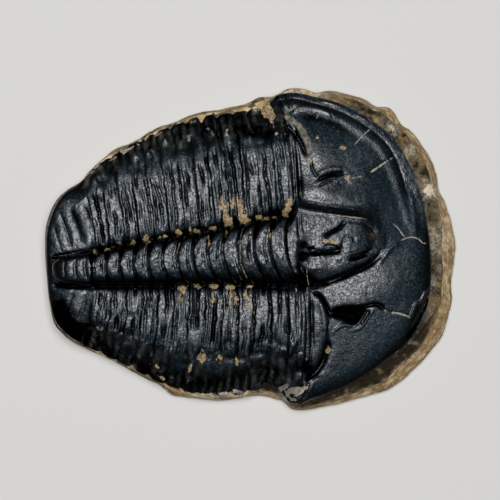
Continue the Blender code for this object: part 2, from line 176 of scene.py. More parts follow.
# Ridges of the head shield: points along each, half width, height
HEAD_RIDGES = [
    ([(4.45, 4.1), (6.15, 3.75), (7.95, 3.5), (9.75, 3.25), (11.75, 3.0)], 0.12, 0.1),
    ([(6.65, 7.3), (7.15, 7.7), (8.15, 8.0), (9.25, 7.9)], 0.3, 0.1),
    ([(6.85, 6.6), (7.75, 6.95), (8.65, 7.1)], 0.11, 0.16),
    ([(4.4, 9.9), (4.45, 7.4), (4.65, 4.6)], 0.2, 0.14),
    ([(9.55, -0.5), (10.55, -0.25), (11.75, 0.2)], 0.16, 0.16),
    ([(7.15, 0.5), (8.05, 0.6), (9.05, 0.2)], 0.16, 0.2),
    ([(10.25, -7.7), (10.85, -7.2), (11.35, -6.3)], 0.13, 0.13),
    ([(10.15, -8.1), (11.05, -7.7), (11.65, -6.8), (12.25, -6.0)], 0.15, 0.13),
    ([(8.25, -8.2), (8.85, -7.7), (9.55, -7.5), (10.25, -7.7)], 0.15, 0.13),
    ([(5.5, -4.3), (5.45, -6.9), (5.45, -9.5)], 0.3, 0.08),
    ([(6.85, -5.0), (7.25, -6.3), (7.45, -8.3)], 0.4, 0.2),
    ([(5.45, -13.4), (6.15, -12.9), (6.85, -12.5)], 0.12, 0.2),
    ([(17.65, -3.9), (17.25, -4.7), (16.95, -5.2), (16.45, -5.5), (16.25, -6.0),
      (15.95, -6.9)], 0.13, 0.17),
    ([(14.85, 0.7), (13.95, 0.1), (13.25, -0.8), (12.55, -1.5)], 0.25, 0.1),
    ([(3.75, 13.2), (4.65, 14.0), (5.95, 14.2), (7.15, 13.9), (8.45, 13.4)], 0.2, 0.08),
    ([(15.95, 5.9), (16.35, 3.7), (16.55, 1.3)], 0.3, 0.08),
]

# Lumps and pits of the head shield: X, Y, half length, half width, turn in degrees, height
HEAD_LUMPS = [
    (5.25, 0.4, 0.4, 0.3, 0, -0.28), (5.25, -0.7, 0.5, 0.6, 0, -0.38), (5.95, 0.0, 0.4, 0.2, 0, -0.15),
    (8.65, -6.3, 0.5, 0.3, 0, -0.35), (9.65, -6.5, 0.9, 0.5, 0, -0.6), (10.25, -6.9, 0.5, 0.4, 0, -0.3),
    (10.85, -6.2, 0.55, 0.22, 0, -0.25), (5.75, -1.9, 0.35, 0.6, 0, 0.12), (6.75, -1.9, 0.8, 0.5, 10, 0.12),
    (3.35, 14.6, 1.2, 0.6, 5, 0.3), (4.55, -15.3, 1.1, 0.6, -15, 0.35), (7.15, 9.9, 2.2, 1.7, -40, 0.16),
    (6.55, 6.1, 1.9, 1.9, 0, 0.22), (5.45, -5.6, 0.8, 1.2, 0, 0.1), (2.85, 10.6, 0.6, 0.8, 0, 0.3),
]

# Sediment left in the furrows: X, Y, half length, half width, turn in degrees, strength
MUD_SPOTS = [
    (3.75, 4.3, 0.42, 0.65, -10, 1.0), (3.45, 3.5, 0.32, 0.5, 25, 1.0), (4.05, 5.0, 0.2, 0.5, 0, 0.5),
    (2.25, 3.2, 0.5, 0.12, 12, 0.7), (1.55, 3.0, 0.32, 0.2, 0, 0.8), (1.85, 1.6, 0.16, 0.8, 0, 0.8),
    (0.75, 3.2, 0.3, 0.28, 0, 0.9), (-0.05, 2.8, 0.3, 0.12, 20, 0.6), (-0.05, 1.5, 0.14, 0.7, -10, 0.7),
    (-0.75, 3.0, 0.42, 0.4, 0, 1.1), (-1.05, 4.0, 0.18, 0.9, -4, 0.9), (-0.45, 3.7, 0.12, 0.8, 0, 0.6),
    (-2.25, 2.8, 0.42, 0.42, 0, 1.2), (-2.55, 3.8, 0.16, 0.8, -5, 0.8), (-2.95, 4.6, 0.18, 0.9, -6, 0.8),
    (-1.85, 4.6, 0.15, 0.8, -5, 0.7), (-2.45, 1.6, 0.12, 0.7, 0, 0.7), (-1.35, 5.3, 0.12, 0.5, 0, 0.6),
    (-3.75, 2.1, 0.32, 0.26, 0, 1.0), (-4.45, 2.4, 0.14, 0.5, 0, 0.6), (-4.15, 0.8, 0.13, 0.8, -4, 0.9),
    (-5.35, 1.8, 0.35, 0.24, 0, 1.0), (-5.95, 2.0, 0.14, 0.4, 0, 0.6), (-5.45, 0.8, 0.1, 0.4, 0, 0.5),
    (-7.05, 1.7, 0.3, 0.3, 0, 1.0), (-7.45, 2.0, 0.14, 0.4, 0, 0.6), (-7.05, 0.4, 0.1, 0.6, 0, 0.5),
    (-8.45, 1.3, 0.25, 0.2, 0, 0.9), (-9.05, 1.2, 0.4, 0.08, 10, 0.6), (-8.65, 2.0, 0.1, 0.4, 0, 0.5),
    (-10.45, 1.1, 0.35, 0.28, 0, 1.1), (-9.95, 0.8, 0.3, 0.14, 0, 0.6), (-11.75, 0.7, 0.32, 0.24, 20, 1.0),
    (-12.35, 0.5, 0.3, 0.12, 0, 0.5), (-13.05, 0.6, 0.26, 0.24, 0, 1.0), (-13.75, 0.2, 0.2, 0.12, 0, 0.5),
    (-14.35, 0.0, 0.28, 0.2, 0, 1.0), (-15.55, -0.2, 0.22, 0.2, 0, 1.0), (-15.75, 0.6, 0.1, 0.3, 0, 0.4),
    (-0.55, -4.4, 0.18, 0.5, 0, 0.6), (-2.05, -3.8, 0.4, 0.28, 0, 1.0), (-1.95, -5.0, 0.16, 0.8, 0, 0.7),
    (-1.55, -4.7, 0.12, 0.6, 0, 0.5), (-3.65, -3.7, 0.38, 0.26, 0, 1.0), (-3.75, -5.0, 0.16, 0.7, 0, 0.7),
    (-0.05, -3.7, 0.26, 0.22, 0, 0.9), (-0.25, -5.4, 0.14, 0.9, 0, 0.6), (-1.95, -6.8, 0.14, 0.7, 0, 0.5),
    (-5.25, -3.7, 0.34, 0.24, 0, 0.9), (-6.75, -4.0, 0.34, 0.34, 0, 1.0), (-7.05, -4.9, 0.14, 0.5, 0, 0.6),
    (-7.85, -3.9, 0.3, 0.1, 0, 0.5), (1.25, -4.7, 0.16, 0.4, 0, 0.5), (2.85, -5.2, 0.16, 0.6, 0, 0.5),
    (4.55, -4.1, 0.16, 0.5, 0, 0.6), (1.75, -3.5, 0.2, 0.14, 0, 0.5), (-11.45, -3.9, 0.25, 0.1, 0, 0.4),
    (-4.45, -3.0, 0.15, 0.3, 0, 0.5), (-5.45, -3.4, 0.2, 0.14, 0, 0.5), (1.95, -2.3, 0.3, 0.3, 0, 0.3),
    (-4.85, -10.8, 0.45, 0.75, 0, 1.0), (-3.15, -10.9, 0.3, 0.6, 0, 0.8), (-1.35, -11.1, 0.3, 0.7, 0, 0.8),
    (-9.35, -11.7, 0.25, 0.5, 10, 0.8), (-8.95, -12.9, 0.5, 0.25, -30, 0.8),
    (-6.05, -11.8, 0.25, 0.6, 0, 0.7), (-6.25, -13.1, 0.3, 0.35, 0, 0.6), (-10.55, 11.1, 0.6, 0.3, 30, 0.8),
    (-5.85, 12.8, 0.5, 0.25, 10, 0.7), (1.65, 14.0, 0.6, 0.9, 0, 1.0), (5.85, 8.7, 0.32, 0.3, 20, 1.2),
    (9.65, 7.2, 0.35, 0.28, 0, 1.2), (7.65, -10.0, 0.33, 0.33, 0, 1.2), (6.65, 11.1, 0.5, 0.25, 0, 0.55),
    (8.15, 10.4, 0.4, 0.22, 0, 0.55), (9.15, 10.1, 0.4, 0.25, 0, 0.8), (7.85, 0.7, 0.95, 0.18, -10, 1.2),
    (6.55, 0.3, 0.6, 0.2, 0, 0.6), (6.95, -2.2, 0.7, 0.2, 10, 0.5), (9.35, -4.7, 0.3, 0.25, 0, 0.5),
    (5.45, -13.9, 0.35, 0.4, 0, 0.8), (2.15, 13.0, 0.35, 0.6, 0, 0.8), (0.75, 14.1, 0.7, 0.3, -10, 0.8),
    (-0.45, 13.6, 0.2, 0.4, 0, 0.5), (-2.85, 13.6, 0.4, 0.2, 0, 0.5), (-7.55, -9.5, 0.2, 0.5, 0, 0.6),
    (-10.35, -9.9, 0.15, 0.4, 0, 0.5), (-1.15, 8.1, 0.2, 0.15, 0, 0.5), (-1.45, -5.1, 1.7, 1.1, 0, 0.38),
    (-4.25, -4.9, 0.9, 0.8, 0, 0.34), (0.15, -6.5, 0.7, 1.2, 0, 0.25), (-1.85, 4.6, 1.4, 1.0, 0, 0.4),
    (-5.45, 2.7, 0.8, 0.5, 0, 0.34), (-7.45, 2.5, 0.7, 0.5, 0, 0.34), (-6.85, -5.1, 0.8, 0.9, 0, 0.34),
    (-0.55, 10.1, 0.25, 0.3, 0, 0.4), (-5.85, 7.3, 0.3, 0.3, 0, 0.45), (-14.25, -11.2, 0.6, 0.25, -35, 0.6),
]

# Grey mud in the left suture and round the rim and the axis of the tail: points, half width
GREY_STROKES = [
    ([(2.95, 13.4), (3.95, 13.0), (4.75, 12.3), (5.35, 11.5), (5.75, 10.3), (5.95, 8.9)], 0.3),
    ([(3.25, 13.6), (3.95, 13.9), (4.65, 14.3)], 0.12),
    ([(-20.35, -1.3), (-20.45, 0.4), (-20.3, 2.0), (-19.75, 3.8), (-18.95, 5.2), (-17.75, 6.4)], 0.1),
    ([(-20.15, -4.3), (-20.0, -5.7), (-19.4, -7.4), (-18.15, -8.7), (-16.45, -9.8)], 0.08),
    ([(-18.95, -0.9), (-19.55, -1.4), (-19.7, -2.0), (-19.45, -2.6)], 0.04),
]

# Pale calcite that fills cracks: points, half width
PALE_STROKES = [
    ([(14.05, 2.6), (14.65, 2.1), (15.15, 1.4), (15.35, 1.1)], 0.05),
    ([(14.75, 0.8), (15.95, 1.2), (16.75, 1.0), (17.25, 0.6), (18.05, 0.7)], 0.06),
    ([(11.85, 7.6), (12.75, 8.2), (13.45, 8.7), (14.25, 9.2)], 0.12),
    ([(9.95, 7.1), (10.45, 7.1), (11.05, 7.3)], 0.06),
    ([(10.25, 10.3), (11.15, 11.3), (12.05, 12.1)], 0.05),
    ([(13.75, -6.3), (14.75, -6.4), (15.95, -6.8)], 0.1),
    ([(4.45, 3.95), (6.15, 3.6), (7.95, 3.4), (9.75, 3.2), (11.75, 2.95)], 0.05),
    ([(5.65, -1.3), (5.55, -2.1), (5.65, -3.1), (5.85, -3.9)], 0.045),
    ([(-0.35, 2.6), (-0.75, 2.0), (-1.0, 1.1), (-1.05, -0.1), (-0.95, -1.3), (-0.65, -2.2),
      (-0.15, -3.3)], 0.045),
    ([(-9.55, 1.2), (-10.25, 0.6), (-10.55, -0.3), (-10.55, -1.3), (-10.35, -2.3), (-10.15, -3.1)], 0.035),
    ([(-2.15, -0.3), (-1.65, -1.1), (-1.35, -2.1), (-0.75, -3.3)], 0.02),
    ([(2.25, 2.1), (2.15, 1.1), (2.45, 0.3)], 0.07),
    ([(6.55, 13.0), (6.85, 13.6)], 0.04),
    ([(9.05, 12.5), (8.95, 13.0)], 0.04),
]

# Rusty stains: X, Y, half length, half width, turn in degrees, strength
RUST_SPOTS = [
    (12.15, 1.4, 0.3, 0.4, 10, 1.0), (10.65, -10.8, 0.6, 0.35, -40, 0.7), (9.45, -11.5, 0.5, 0.3, 0, 0.3),
    (14.45, -7.6, 0.5, 0.4, 0, 0.35), (14.55, 6.3, 0.35, 0.3, 0, 0.5), (13.45, 3.2, 0.8, 0.25, -10, 0.4),
    (14.15, -2.8, 0.4, 0.3, 0, 0.3), (15.15, -5.6, 0.5, 0.3, 0, 0.4), (-5.95, 7.2, 0.25, 0.2, 0, 0.6),
    (5.55, -13.7, 0.25, 0.25, 0, 0.8), (-4.35, 11.6, 0.3, 0.2, 0, 0.5), (12.05, -9.0, 0.4, 0.3, 0, 0.25),
]

# Deep shade in hollows and under the tips: X, Y, half length, half width, turn in degrees, strength
SHADE_SPOTS = [
    (8.75, -6.15, 0.7, 0.38, 0, 1.4), (9.75, -6.4, 0.95, 0.75, 0, 2.0), (10.75, -6.05, 0.8, 0.38, 5, 1.4),
    (10.25, -6.9, 0.55, 0.45, 20, 1.3), (8.25, -6.6, 0.3, 0.3, 0, 1.0), (5.25, 0.4, 0.35, 0.3, 0, 1.3),
    (5.15, -0.8, 0.4, 0.5, 10, 1.5), (5.95, 0.1, 0.5, 0.25, 20, 1.2), (7.35, -0.4, 1.6, 0.2, 3, 1.3),
    (6.25, -0.5, 0.9, 0.22, 0, 1.0), (10.75, -0.9, 0.9, 0.14, 15, 1.3), (8.45, 1.8, 0.8, 0.14, 40, 1.0),
    (4.95, -3.0, 1.5, 0.8, -20, 1.1), (7.95, 7.3, 1.2, 0.16, 15, 1.0), (1.15, 11.7, 1.6, 0.8, 0, 1.0),
    (-1.05, 12.1, 1.2, 0.7, 0, 0.9), (-3.85, 12.1, 1.4, 0.6, 0, 0.8), (-7.05, 11.3, 1.0, 0.7, 0, 0.8),
    (-9.85, 9.9, 0.9, 0.7, 0, 0.8), (1.95, -12.3, 2.2, 1.2, 0, 0.8), (-2.55, -13.3, 2.4, 0.7, 0, 0.7),
    (5.55, -11.6, 1.2, 1.2, 0, 0.9),
]

# Deep shade along grooves and margins: points, half width, strength
SHADE_STROKES = [
    ([(-19.85, -4.8), (-18.65, -6.6), (-17.15, -8.3), (-15.45, -9.8)], 1.25, 1.35),
    ([(-19.55, -0.9), (-17.85, -0.7), (-15.85, -0.1)], 0.15, 1.3),
    ([(-19.65, -3.6), (-17.55, -3.8), (-15.45, -3.8)], 0.16, 1.3),
    ([(-17.95, 4.3), (-17.15, 2.5), (-16.35, 0.1)], 0.1, 0.8),
    ([(-16.65, 4.6), (-15.75, 2.7), (-15.35, 0.8)], 0.1, 0.9),
    ([(-15.05, 7.8), (-12.85, 9.4), (-10.05, 10.8), (-6.55, 12.2), (-2.85, 13.0), (1.15, 13.0)], 0.7, 0.85),
    ([(-16.65, -7.7), (-15.25, -9.6), (-12.05, -11.5), (-8.05, -12.9), (-3.55, -13.5),
      (1.15, -12.9)], 1.05, 1.0),
    ([(-16.25, -7.3), (-15.85, -8.3), (-15.25, -9.2)], 0.5, 1.0),
    ([(-20.15, -0.9), (-19.25, -0.8)], 0.2, 1.3),
    ([(4.65, 13.3), (6.45, 13.1), (8.25, 12.6), (10.15, 11.5)], 0.5, 0.75),
    ([(18.05, -4.4), (17.55, -5.6), (16.85, -6.9), (16.05, -8.3), (15.35, -9.5)], 0.32, 1.1),
    ([(7.35, 1.2), (7.95, 1.65), (8.65, 2.05), (9.25, 2.6)], 0.17, 1.25),
    ([(6.75, -3.9), (7.75, -3.45), (9.15, -2.95), (10.45, -2.35), (11.75, -1.7), (12.45, -1.2)], 0.15, 1.2),
    ([(6.25, -4.3), (6.85, -4.6), (7.35, -5.2), (7.75, -6.0)], 0.1, 1.2),
    ([(9.95, -1.0), (10.65, -0.85), (11.45, -0.5)], 0.1, 1.1),
    ([(-19.05, 0.9), (-18.25, 2.7), (-17.45, 4.3)], 1.5, 0.36),
    ([(-19.05, -1.9), (-17.45, -1.9), (-16.05, -1.8)], 0.9, 0.2),
]

# Smoother, darker parts of the shield: X, Y, half length, half width, turn in degrees, strength
CALM_SPOTS = [
    (9.75, 11.3, 5.0, 2.0, -38, 1.25), (6.55, 12.9, 2.0, 0.8, -5, 1.0), (13.75, 6.1, 3.6, 2.2, -70, 1.2),
    (14.45, 0.9, 3.2, 2.0, 90, 0.7), (7.95, 5.9, 1.6, 1.3, 0, 0.7), (10.45, 5.4, 2.2, 1.6, 0, 0.8),
    (14.15, -4.1, 2.6, 2.2, 0, 0.5), (-12.05, 4.4, 5.0, 2.6, 20, 0.4), (-19.05, -6.1, 2.2, 2.2, 0, 0.8),
    (-18.25, 2.7, 2.2, 2.4, 0, 0.9),
]

# Pale matrix that still coats the shield: X, Y, half length, half width, turn in degrees, strength
COAT_SPOTS = [
    (4.55, -14.1, 1.0, 0.5, 12, 1.0), (4.05, -15.0, 0.7, 0.3, -20, 0.7), (2.35, 12.3, 0.15, 0.8, 12, 0.5),
    (2.45, 11.5, 0.25, 0.25, 0, 0.6), (3.15, 15.1, 1.0, 0.2, 10, 0.4), (1.25, 15.1, 0.9, 0.35, 12, 0.8),
    (6.15, -13.0, 0.7, 0.12, 35, 0.5), (-0.45, 10.2, 0.4, 0.4, 0, 0.5), (-2.95, -14.5, 0.7, 0.22, 5, 0.7),
    (-1.45, -14.2, 0.45, 0.3, 0, 0.7), (-0.05, -14.6, 0.6, 0.25, 0, 0.8), (4.95, -14.2, 0.5, 0.25, 20, 0.5),
    (1.15, -14.1, 0.45, 0.35, 20, 0.7), (2.35, -14.3, 0.5, 0.3, 0, 0.8), (3.35, -13.7, 0.5, 0.25, 30, 0.8),
    (-4.55, -14.6, 0.7, 0.18, 0, 0.6), (-6.85, -14.4, 0.8, 0.22, -12, 0.8),
    (-10.05, -13.1, 0.7, 0.2, -30, 0.6), (-8.45, -14.0, 0.5, 0.18, -25, 0.6),
    (-12.75, 9.8, 0.45, 0.55, 40, 0.8), (-15.85, 7.8, 0.6, 0.25, 45, 0.7), (-5.45, 13.6, 1.2, 0.2, 12, 0.6),
    (-1.05, 14.6, 1.2, 0.25, 8, 0.7), (-3.25, 13.9, 0.9, 0.22, 10, 0.6), (-1.65, 12.5, 0.35, 0.25, 0, 0.45),
    (0.15, 11.6, 0.35, 0.25, 0, 0.5), (-2.35, 11.9, 0.3, 0.2, 0, 0.6), (-4.25, 12.0, 0.35, 0.2, 0, 0.55),
    (1.85, 13.6, 0.5, 0.25, -20, 0.5), (-6.55, 11.3, 0.35, 0.2, 0, 0.5),
]

# Pale matrix along the margins of the shield: points, half width
COAT_STROKES = [
    ([(-9.05, -13.8), (-7.55, -14.3), (-6.05, -14.5), (-3.55, -14.6), (-1.05, -14.5), (1.15, -14.3),
      (3.35, -14.0)], 0.2),
    ([(-15.25, -10.7), (-13.25, -11.8), (-11.05, -12.9), (-9.45, -13.6)], 0.12),
    ([(-15.45, 7.7), (-13.25, 9.4), (-10.05, 11.1), (-6.05, 13.2), (-2.55, 14.2), (1.15, 14.8)], 0.12),
]

# Parts of the head shield that lie level: X, Y, half length, half width, turn in degrees, height
HEAD_LEVELS = [
    (9.55, -3.8, 5.2, 2.2, 8, 4.98),
    (6.15, -6.1, 1.1, 2.6, -4, 5.05),
    (5.25, 8.6, 1.5, 3.2, 8, 4.62),
    (7.75, 0.9, 3.4, 2.1, -3, 5.02),
]

# Lines along each pleura: place in the segment, lean, depth, half width, seed
RIB_LINES = [
    (0.6, -0.16, 0.2, 0.075, 31), (0.3, 0.0, 0.14, 0.06, 33), (0.84, 0.0, 0.09, 0.05, 35),
]

# Beads of light on the turned-down tips: X, Y, half length, half width, turn in degrees, height
TIP_BEADS = [
    (-15.75, 6.8, 0.35, 0.4, 0, 0.25), (-15.15, 7.8, 0.55, 0.35, 0, 0.25),
    (-13.65, 8.5, 0.4, 0.35, 0, 0.25), (-11.55, 9.4, 0.35, 0.45, 0, 0.25),
    (-10.25, 10.1, 0.35, 0.45, 0, 0.2), (-8.55, 11.1, 0.45, 0.4, 0, 0.22),
    (-6.35, 11.4, 0.5, 0.45, 0, 0.25), (-4.25, 12.1, 0.4, 0.4, 0, 0.2), (-2.35, 11.9, 0.45, 0.35, 0, 0.22),
    (-0.05, 11.6, 0.35, 0.4, 0, 0.2), (2.95, 10.7, 0.65, 0.8, 10, 0.25), (-12.25, -11.5, 0.4, 0.5, 0, 0.2),
    (-10.55, -10.1, 0.35, 0.6, 0, 0.15), (-8.05, -10.3, 0.35, 0.5, 0, 0.15),
    (4.25, -9.5, 0.3, 0.9, -30, 0.25),
]

# Profile of the tail shield from the thorax (0) to its rim (1), on its left and its right
TAIL_RADII = [0.0, 0.35, 0.6, 0.74, 0.82, 0.9, 0.94, 0.97, 1.0]
TAIL_LEFT = [4.7, 4.64, 4.49, 4.37, 4.24, 4.06, 3.9, 3.7, 3.33]
TAIL_RIGHT = [4.7, 4.6, 4.4, 4.2, 4.05, 3.85, 3.7, 3.55, 3.3]

# Height of the crest of the axial lobe along the tail
TAIL_LOBE_X = [-19.8, -18.7, -17.0, -15.3]
TAIL_LOBE_TOP = [4.9, 5.28, 5.5, 5.65]

# Grooves of the tail shield: points, half width, depth
TAIL_GROOVES = [
    ([(-16.65, 4.6), (-15.75, 2.7), (-15.35, 0.8)], 0.2, 0.2),
    ([(-18.05, 4.6), (-17.15, 2.5), (-16.35, 0.1)], 0.3, 0.22),
    ([(-19.05, 3.7), (-18.35, 1.9), (-17.75, -0.1)], 0.3, 0.15),
    ([(-19.65, 2.5), (-19.25, 1.1), (-18.75, -0.3)], 0.25, 0.08),
    ([(-15.25, -4.1), (-15.45, -5.9), (-16.25, -8.1)], 0.18, 0.14),
    ([(-16.35, -4.0), (-16.65, -5.7), (-17.25, -7.3)], 0.22, 0.1),
    ([(-17.55, -3.9), (-17.95, -5.2), (-18.45, -6.3)], 0.2, 0.07),
    ([(-18.45, -1.0), (-18.55, -1.9), (-18.45, -3.0)], 0.16, 0.09),
    ([(-17.35, -0.9), (-17.45, -1.9), (-17.25, -3.1)], 0.2, 0.14),
    ([(-16.35, -0.7), (-16.45, -1.8), (-16.15, -3.2)], 0.2, 0.16),
]

# Pits in the ledge: X, Y, half length, half width, turn in degrees, depth
LEDGE_PITS = [
    (15.35, 11.4, 0.16, 0.13, 0, 0.3), (11.85, 13.8, 0.25, 0.13, -30, 0.2),
    (13.05, 13.5, 0.4, 0.35, 0, 0.15), (10.05, 14.4, 0.5, 0.12, -20, 0.12),
    (11.15, 14.2, 0.4, 0.1, -30, 0.15), (17.45, 7.9, 0.5, 0.25, -60, 0.1), (18.25, 3.4, 0.3, 0.5, 0, 0.1),
    (18.55, -1.1, 0.3, 0.5, 0, 0.1),
]

# Ochre stains of the bed: X, Y, half length, half width, turn in degrees, strength
OCHRE_SPOTS = [
    (14.05, 14.2, 1.2, 0.6, -25, 0.8), (15.15, 12.7, 1.2, 0.7, -50, 0.5), (9.15, 15.1, 0.8, 0.5, -10, 0.7),
    (8.25, 14.6, 1.0, 0.3, -15, 0.6), (15.35, 11.2, 1.0, 0.6, -50, 0.5), (17.35, 8.7, 0.9, 0.4, -60, 0.4),
    (18.75, -5.1, 0.4, 2.4, -15, 0.7), (18.15, -7.6, 0.3, 1.6, -20, 0.5), (12.35, 13.1, 0.8, 0.4, -35, 0.5),
    (9.95, -16.1, 3.0, 0.3, 14, 0.2),
]

# Shade in the notch of the bed's right side: X, Y, half length, half width, turn in degrees, strength
NOTCH_SPOTS = [
    (1.35, -13.7, 1.4, 0.5, 0, 1.6), (0.15, -14.0, 0.5, 0.16, -20, 0.8), (2.75, -14.0, 0.5, 0.2, 30, 0.8),
]

# Points along the cracks of the ledge
LEDGE_CRACKS = [
    [(16.65, 6.2), (17.35, 6.6), (18.25, 6.6)],
    [(17.75, 5.0), (18.45, 5.0), (19.05, 4.6)],
    [(17.95, 2.7), (18.55, 2.9), (19.25, 2.4)],
    [(18.05, 0.6), (18.65, 0.3), (19.25, 0.6)],
    [(17.95, -1.4), (18.65, -1.0), (19.35, -1.3)],
    [(17.75, -3.6), (18.55, -3.8), (19.25, -4.3)],
    [(17.35, -5.3), (18.05, -5.1), (18.75, -5.5)],
    [(18.95, -5.0), (18.55, -6.1), (17.85, -7.3), (16.95, -8.5), (15.85, -9.8), (14.55, -11.0),
     (13.05, -12.2), (10.95, -13.4)],
    [(8.55, -14.3), (6.75, -14.8), (4.95, -15.2)],
    [(15.85, -9.7), (15.35, -9.2), (15.05, -8.6)],
    [(15.85, 9.1), (16.55, 9.4), (17.25, 9.6)],
    [(14.65, 10.7), (15.25, 11.2), (15.85, 11.6)],
    [(12.55, 13.2), (13.15, 13.9), (13.35, 14.5)],
]

# Pale chips and edges of the bed: X, Y, half length, half width, turn in degrees, strength
PALE_PATCHES = [
    (-5.05, -14.9, 2.2, 0.35, 0, 0.7), (0.15, -14.9, 2.6, 0.35, 0, 0.8),
    (-10.05, -13.7, 1.4, 0.3, -30, 0.5), (18.05, -6.4, 0.8, 0.25, 65, 0.6),
    (16.45, -8.9, 1.4, 0.22, 50, 0.5), (-17.45, -9.5, 1.8, 0.3, -35, 0.6), (3.45, -15.2, 0.8, 0.4, 0, 0.6),
    (18.35, 0.4, 0.35, 0.8, 0, 0.5), (16.15, 9.9, 0.5, 0.5, 0, 0.6), (18.25, -3.5, 0.4, 0.5, 0, 0.5),
    (18.05, 5.9, 0.75, 0.75, 0, 1.3), (12.35, 14.6, 0.9, 0.35, -30, 0.8), (9.45, 15.8, 1.6, 0.3, -8, 0.6),
    (19.15, 0.4, 0.5, 2.6, 0, 0.3), (4.95, 15.7, 2.4, 0.4, 0, 0.8), (14.25, 12.1, 0.8, 0.4, -50, 0.7),
]

# Colours of the shield
BLACK = (0.001, 0.007, 0.012)
BLUE_BLACK = (0.003, 0.0145, 0.023)
GLINT = (0.014, 0.027, 0.036)
SLOPE_SHADE_BLACK = (0.0003, 0.0006, 0.0009)
CREST_GREY = (0.03, 0.038, 0.046)
HOLLOW_SHADE_BLACK = (0.0008, 0.0012, 0.0014)
RUST = (0.05, 0.03, 0.02)
DARK_GREY_MUD = (0.05, 0.045, 0.034)
GREY_MUD = (0.23, 0.205, 0.155)
BROWN_MUD = (0.17, 0.12, 0.06)
TAN_MUD = (0.45, 0.34, 0.19)
DARK_MUD = (0.15, 0.1, 0.04)
COAT_CREAM = (0.44, 0.385, 0.3)
COAT_GREY = (0.15, 0.135, 0.12)
COAT_SPECK = (0.07, 0.06, 0.05)
PALE_CALCITE = (0.36, 0.33, 0.26)
WRINKLE_BLACK = (0.0005, 0.0012, 0.0018)
WALL_SHADE_BLACK = (0.0003, 0.0005, 0.0007)
RIB_HIGHLIGHT_GREY = (0.018, 0.021, 0.018)

# Colours of the matrix bed: its cream slope, its brown ledge and its stains
CREAM = (0.57, 0.45, 0.275)
SLOPE_BROWN = (0.24, 0.16, 0.075)
SLOPE_TAN = (0.3, 0.19, 0.085)
LAYER_BROWN = (0.15, 0.092, 0.04)
SLOPE_SPECK = (0.66, 0.6, 0.47)
LEDGE_BLACK = (0.017, 0.013, 0.008)
LEDGE_BROWN = (0.1, 0.08, 0.048)
LEDGE_TAN = (0.15, 0.118, 0.068)
LEDGE_CREAM = (0.3, 0.245, 0.16)
LEDGE_SPECK = (0.2, 0.18, 0.13)
OCHRE = (0.26, 0.145, 0.045)
CHIP_WHITE = (0.58, 0.56, 0.5)
PIT_SHADE_AND_CRACK_BROWN = (0.012, 0.008, 0.004)

# Gloss of the shield and of the bed
CALCITE_IOR = 1.53
BED_SPECULAR = 0.06

# Heights of the bumps in the materials, in metres
WIDE_BUMP = 0.000045
WRINKLE_BUMP = 0.00001
FINE_BUMP = 0.00003
PATCH_BUMP = 0.0001
GRAIN_BUMP = 0.00006

# The studio, in metres: camera straight above, one soft lamp and a plain pale floor
CAMERA_PLACE = (-0.00005, -0.0001, 0.242)
SENSOR_WIDTH = 36.0
LENS = 172.0
LAMP_PLACE = (-0.015, 0.045, 0.46)
LAMP_SIZE = 0.24
LAMP_ENERGY = 2.6
SKY_COLOUR = (0.95, 0.97, 1.0, 1.0)
SKY_STRENGTH = 0.03
FLOOR_HALF = 1.5
FLOOR_COLOUR = (0.58, 0.573, 0.558, 1.0)
FLOOR_ROUGHNESS = 0.85

def smooth_curve(x, xs, ys):
    """Cubic curve through the points (xs, ys), level beyond its ends."""
    xs, ys = np.asarray(xs, float), np.asarray(ys, float)
    slope = np.gradient(ys, xs)
    x = np.clip(x, xs[0], xs[-1])
    i = np.clip(np.searchsorted(xs, x, side="right") - 1, 0, len(xs) - 2)
    span = xs[i + 1] - xs[i]
    u = (x - xs[i]) / span
    start = ys[i] * (1 + 2 * u) * (1 - u) ** 2 + slope[i] * span * u * (1 - u) ** 2
    end = ys[i + 1] * u * u * (3 - 2 * u) + slope[i + 1] * span * u * u * (u - 1)
    return start + end


def hump(distance, width):
    """A rounded bump of height 1 that has faded at twice its width."""
    return np.exp(-((distance / width) ** 2))


def crease(distance, width, power=1.2):
    """A bump of height 1 that comes to a point in its middle."""
    return np.exp(-((np.abs(distance) / width) ** power))


def ease(value):
    """Smooth step from 0 at 0 to 1 at 1."""
    value = np.clip(value, 0, 1)
    return value * value * (3 - 2 * value)


def noise(u, v, seed):
    """Smooth random surface between -1 and 1 with bumps about one unit wide."""
    table = np.random.default_rng(seed).random((256, 256)) * 2 - 1
    i, j = np.floor(u).astype(int), np.floor(v).astype(int)
    fu, fv = ease(u - i), ease(v - j)
    i0, i1, j0, j1 = i % 256, (i + 1) % 256, j % 256, (j + 1) % 256
    low = table[i0, j0] * (1 - fu) + table[i1, j0] * fu
    high = table[i0, j1] * (1 - fu) + table[i1, j1] * fu
    return low * (1 - fv) + high * fv


def rough(u, v, seed, octaves=3):
    """Noise with finer noise on it."""
    total = 0
    for octave in range(octaves):
        total = total + noise(u * 2**octave, v * 2**octave, seed + octave) / 2**octave
    return total / 1.6


def curve_through(points, steps=6):
    """Points along a smooth curve through the points."""
    points = np.array(points, float)
    at = np.arange(len(points))
    fine = np.linspace(0, len(points) - 1, (len(points) - 1) * steps + 1)
    return np.stack([smooth_curve(fine, at, points[:, k]) for k in (0, 1)], axis=1)


